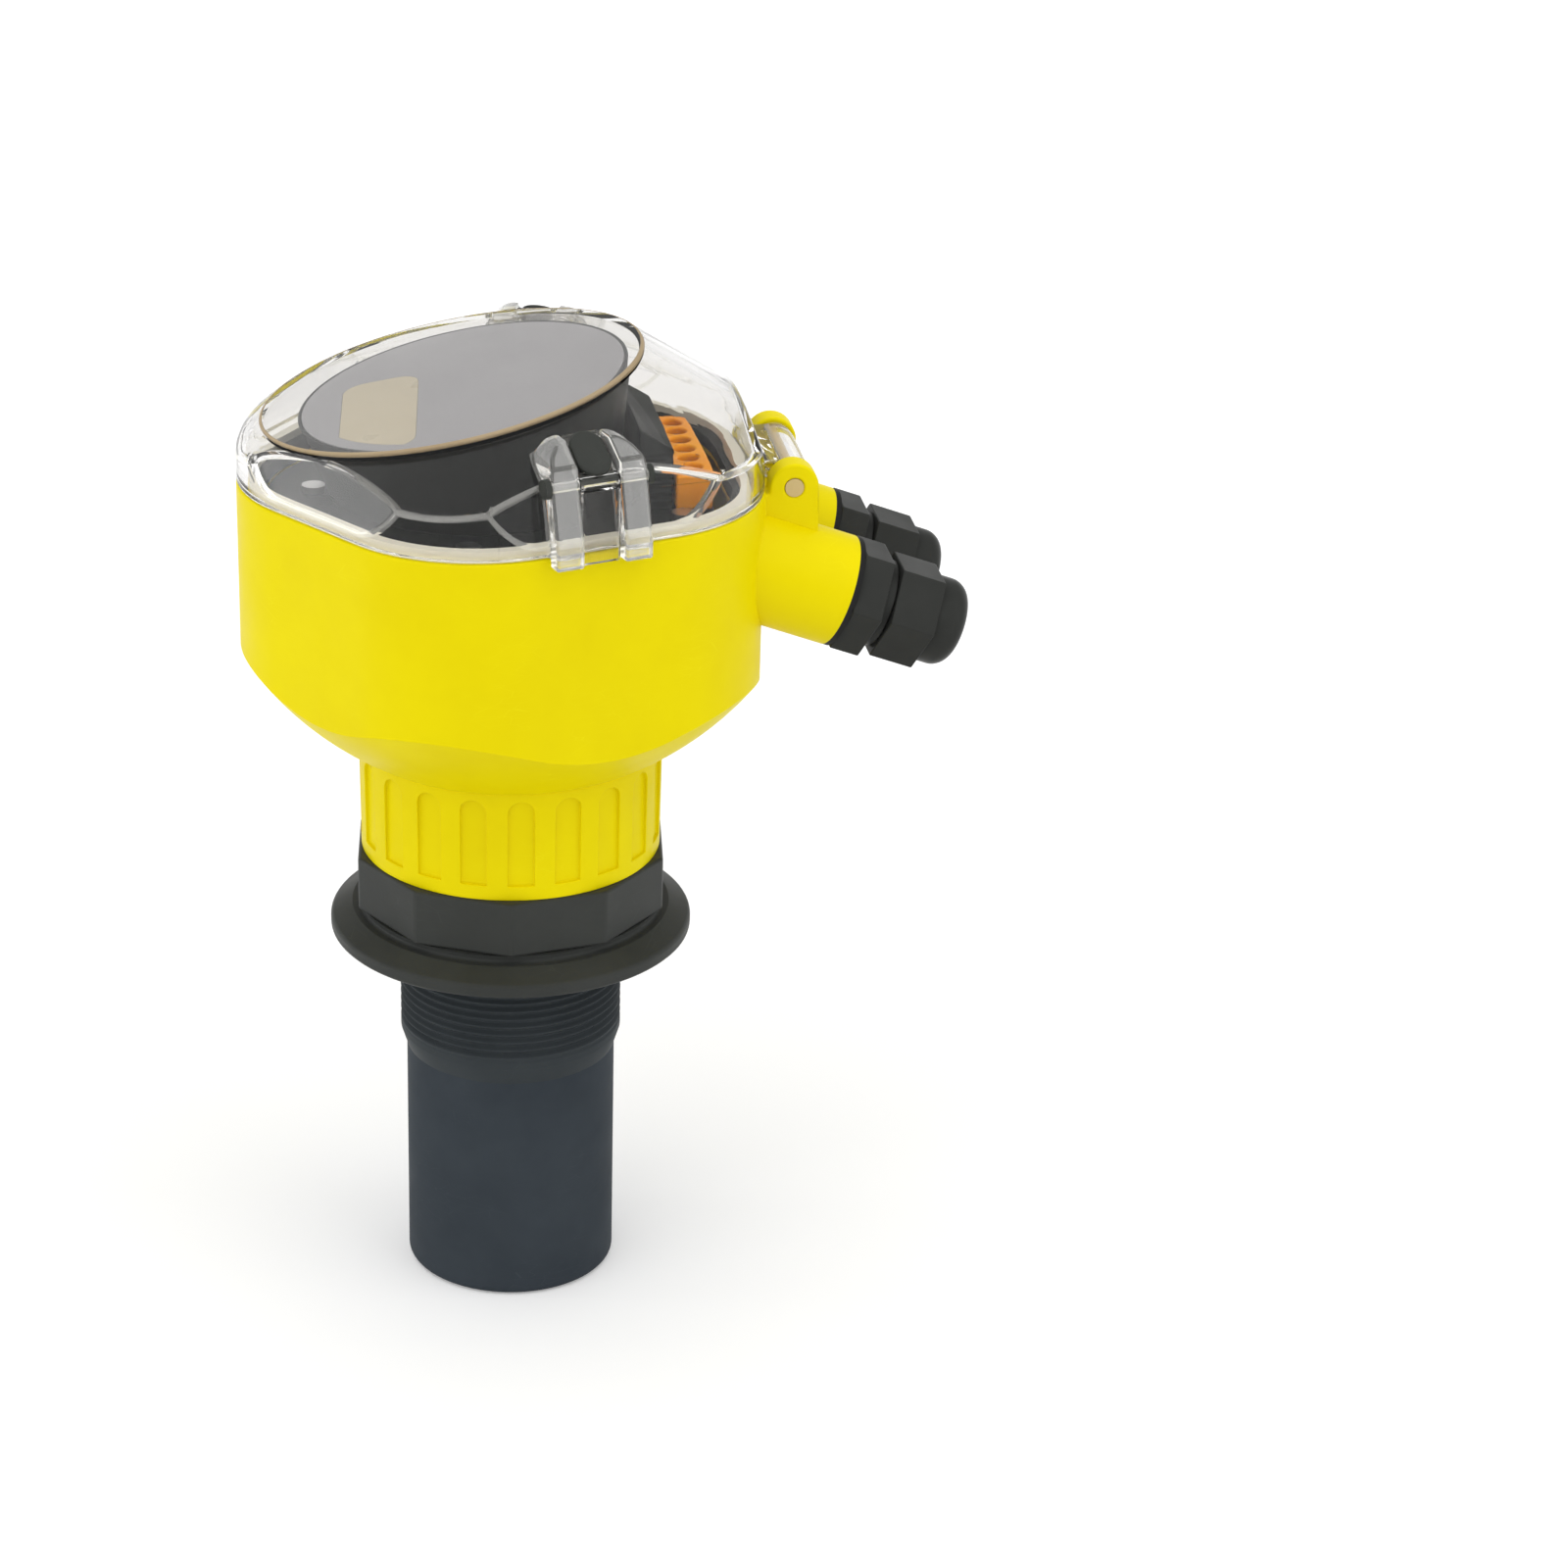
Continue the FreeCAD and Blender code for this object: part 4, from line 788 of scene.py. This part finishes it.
@dataclass(frozen=True)
class DeckLiner:
    """A dark upstand round the deck that lines the rim inside the lid's seal, in millimetres."""

    distances: tuple[float, ...] = (63.2, 61.4, 64.7, 64.7, 61.4)
    corner: float = 40.0
    ledge: float = 6.2
    inner: float = 8.02
    rim: float = 127.62
    foot: float = 124.05
    skin: float = 0.35
    steps: int = 14

    def outline(self, insets: np.ndarray) -> np.ndarray:
        """The head's rounded pentagon moved in by each inset.

        Args:
            insets: distances inwards from the head's outside.

        Returns:
            Places as insets by points by 2.
        """
        walls = len(self.distances)
        turns = 2.0 * np.pi / walls * np.arange(walls + 1)
        normals = np.stack([np.cos(turns), np.sin(turns)], axis=-1)
        pairs = np.stack([normals[:-1], normals[1:]], axis=1)
        reach = np.array(self.distances) - self.corner
        centres = np.linalg.solve(pairs, np.stack([reach, np.roll(reach, -1)], axis=-1)[..., None])[..., 0]
        angle = turns[:-1, None] + np.linspace(0.0, turns[1], self.steps)[None, :]
        around = np.stack([np.cos(angle), np.sin(angle)], axis=-1).reshape(-1, 2)
        radii = (self.corner - insets)[:, None, None]
        return np.repeat(centres, self.steps, axis=0)[None] + radii * around[None]

    def build(self, assembly: Assembly) -> bpy.types.Object:
        """Make the liner, riding on the head.

        Args:
            assembly: the frame.

        Returns:
            The new piece.
        """
        lip = self.rim + self.skin
        face = self.inner + self.skin
        section = np.array([(self.ledge, self.rim), (self.ledge, lip), (face, lip), (face, self.foot),
                            (self.inner, self.foot), (self.inner, self.rim)])
        flat = self.outline(section[:, 0])
        levels = np.broadcast_to(section[:, 1, None, None], (*flat.shape[:2], 1))
        mesh = grid_mesh("deck_liner", np.concatenate([flat, levels], axis=-1) * MM, closed_rows=True)
        mesh.set_sharp_from_angle(angle=math.radians(CREASE_ANGLE))
        return assembly.add(mesh, "deck_liner", "inner_cover", DECK)


def white_rays(nodes: Nodes) -> bpy.types.NodeSocket:
    """One for rays that show the white surroundings, straight, in gloss or through glass, else zero."""
    path = nodes.add("LightPath")
    through = nodes.math("MAXIMUM", path.outputs["Is Glossy Ray"], path.outputs["Is Transmission Ray"])
    return nodes.math("MAXIMUM", path.outputs["Is Camera Ray"], through)


@dataclass(frozen=True)
class SoftBox:
    """A rectangular lamp that is aimed at the part, in metres and watts."""

    name: str
    place: Colour
    width: float
    height: float
    power: float
    aim: Colour = (0.0, 0.0, 0.06)

    def build(self) -> None:
        """Make the lamp."""
        data = bpy.data.lights.new(self.name, "AREA")
        data.shape = "RECTANGLE"
        data.energy = self.power
        data.size = self.width
        data.size_y = self.height
        lamp = bpy.data.objects.new(self.name, data)
        lamp.location = self.place
        way = Vector(self.aim) - Vector(self.place)
        lamp.rotation_euler = way.to_track_quat("-Z", "Y").to_euler()
        bpy.context.scene.collection.objects.link(lamp)


SOFT_BOXES = (
    SoftBox("left_box", (-0.9, -0.9, 0.9), 1.8, 1.8, 8.7),
    SoftBox("right_box", (1.0, -0.7, 0.7), 1.4, 1.4, 5.8),
    SoftBox("top_box", (0.0, 0.1, 1.3), 1.8, 1.8, 9.2),
    SoftBox("rim_strip", (-1.33, 0.2, 0.1), 0.24, 0.6, 2.1),
)


@dataclass
class Studio:
    """Floor, lights and the camera at the photograph's angle.

    The camera looks along a level heading and down by its pitch. Its place follows from the distance to a
    point on the sensor's axis, and its shift from where that point lies in the square frame.
    """

    lens: float = 101.25
    heading: float = -6.0
    pitch: float = 25.6
    distance: float = 1.188
    target: Colour = (0.0, 0.0, 0.00187)
    shift: tuple[float, float] = (0.1744, 0.0819)
    floor_level: float = -0.1007
    floor_gap: float = 0.0002
    floor_reach: float = 6.0
    floor_shade: float = 0.85
    floor_roughness: float = 0.9
    near_glow: float = 0.21
    far_glow: float = 0.7
    glow_reach: tuple[float, float] = (0.25, 1.6)
    world_level: float = 0.52
    zenith_level: float = 0.12
    sweep_heights: tuple[float, float] = (0.15, 0.6)

    def build(self) -> None:
        """Make the whole stage."""
        self._camera()
        self._floor()
        for box in SOFT_BOXES:
            box.build()
        self._world()

    def _camera(self) -> None:
        """Set the camera by heading, pitch and distance."""
        data = bpy.data.cameras.new("camera")
        data.sensor_width = 36.0
        data.lens = self.lens
        data.shift_x, data.shift_y = self.shift
        data.clip_end = 50.0
        camera = bpy.data.objects.new("camera", data)
        turn = Matrix.Rotation(math.radians(self.heading), 4, "Z")
        lean = Matrix.Rotation(math.radians(90 - self.pitch), 4, "X")
        back = Matrix.Translation((0, 0, self.distance))
        camera.matrix_world = Matrix.Translation(self.target) @ turn @ lean @ back
        bpy.context.scene.collection.objects.link(camera)
        bpy.context.scene.camera = camera

    def _floor(self) -> None:
        """Lay a wide plain floor that shows white to the camera and keeps the shadow."""
        reach = self.floor_reach
        height = self.floor_level - self.floor_gap
        mesh = bpy.data.meshes.new("floor")
        mesh.from_pydata([(-reach, -reach, height), (reach, -reach, height), (reach, reach, height),
                          (-reach, reach, height)], [], [(0, 1, 2, 3)])
        floor = bpy.data.objects.new("floor", mesh)
        bpy.context.scene.collection.objects.link(floor)
        made = bpy.data.materials.new("pale_floor")
        made.use_nodes = True
        nodes = Nodes(made.node_tree)
        shader = made.node_tree.nodes["Principled BSDF"]
        shader.inputs["Base Color"].default_value = (*[self.floor_shade] * 3, 1)
        shader.inputs["Roughness"].default_value = self.floor_roughness
        shader.inputs["Emission Color"].default_value = (1, 1, 1, 1)
        away = nodes.add("VectorMath", {0: nodes.add("TexCoord").outputs["Object"]}, operation="LENGTH")
        level = nodes.spread(away.outputs["Value"], *self.glow_reach, self.near_glow, self.far_glow)
        glow = nodes.math("MULTIPLY", white_rays(nodes), level)
        made.node_tree.links.new(glow, shader.inputs["Emission Strength"])
        mesh.materials.append(made)

    def _world(self) -> None:
        """Set plain white surroundings, and a sweep in reflections that darkens overhead."""
        world = bpy.data.worlds.new("studio")
        bpy.context.scene.world = world
        world.use_nodes = True
        nodes = Nodes(world.node_tree)
        path = nodes.add("LightPath")
        seen = nodes.math("MAXIMUM", path.outputs["Is Camera Ray"], path.outputs["Is Transmission Ray"])
        mirrored = nodes.math("MAXIMUM", nodes.math("SUBTRACT", path.outputs["Is Glossy Ray"], seen), 0.0)
        height = nodes.add("SeparateXYZ", {0: nodes.add("TexCoord").outputs["Generated"]}).outputs["Z"]
        sweep = nodes.spread(height, *self.sweep_heights, 1.0 - self.world_level,
                             self.zenith_level - self.world_level)
        plain_sky = nodes.spread(seen, 0.0, 1.0, self.world_level, 1.0)
        strength = nodes.math("ADD", plain_sky, nodes.math("MULTIPLY", mirrored, sweep))
        background = world.node_tree.nodes["Background"]
        background.inputs["Color"].default_value = (1, 1, 1, 1)
        world.node_tree.links.new(strength, background.inputs["Strength"])


def main() -> None:
    """Load the frame, dress every piece and set the stage."""
    logging.basicConfig(level=logging.INFO)
    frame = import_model()
    bpy.context.scene.view_settings.view_transform = "Standard"
    paints = Paints()
    for name, thing in frame["nodes"].items():
        paints.dress(thing, NODE_FINISHES[name])
        log.info("dressed %s", name)
    assembly = Assembly(frame, paints)
    softened = {name: assembly.soften(name, softening) for name, softening in SOFT_EDGES.items()}
    ThreadForm().build(assembly)
    DeckLiner().build(assembly)
    lid_form = LidForm()
    lid_form.bond_line(assembly)
    lid_form.keep_window_sharp(softened["lid"])
    lid_form.finish_mouldings(softened["lid"], paints)
    Studio().build()


if __name__ == "__main__":
    main()
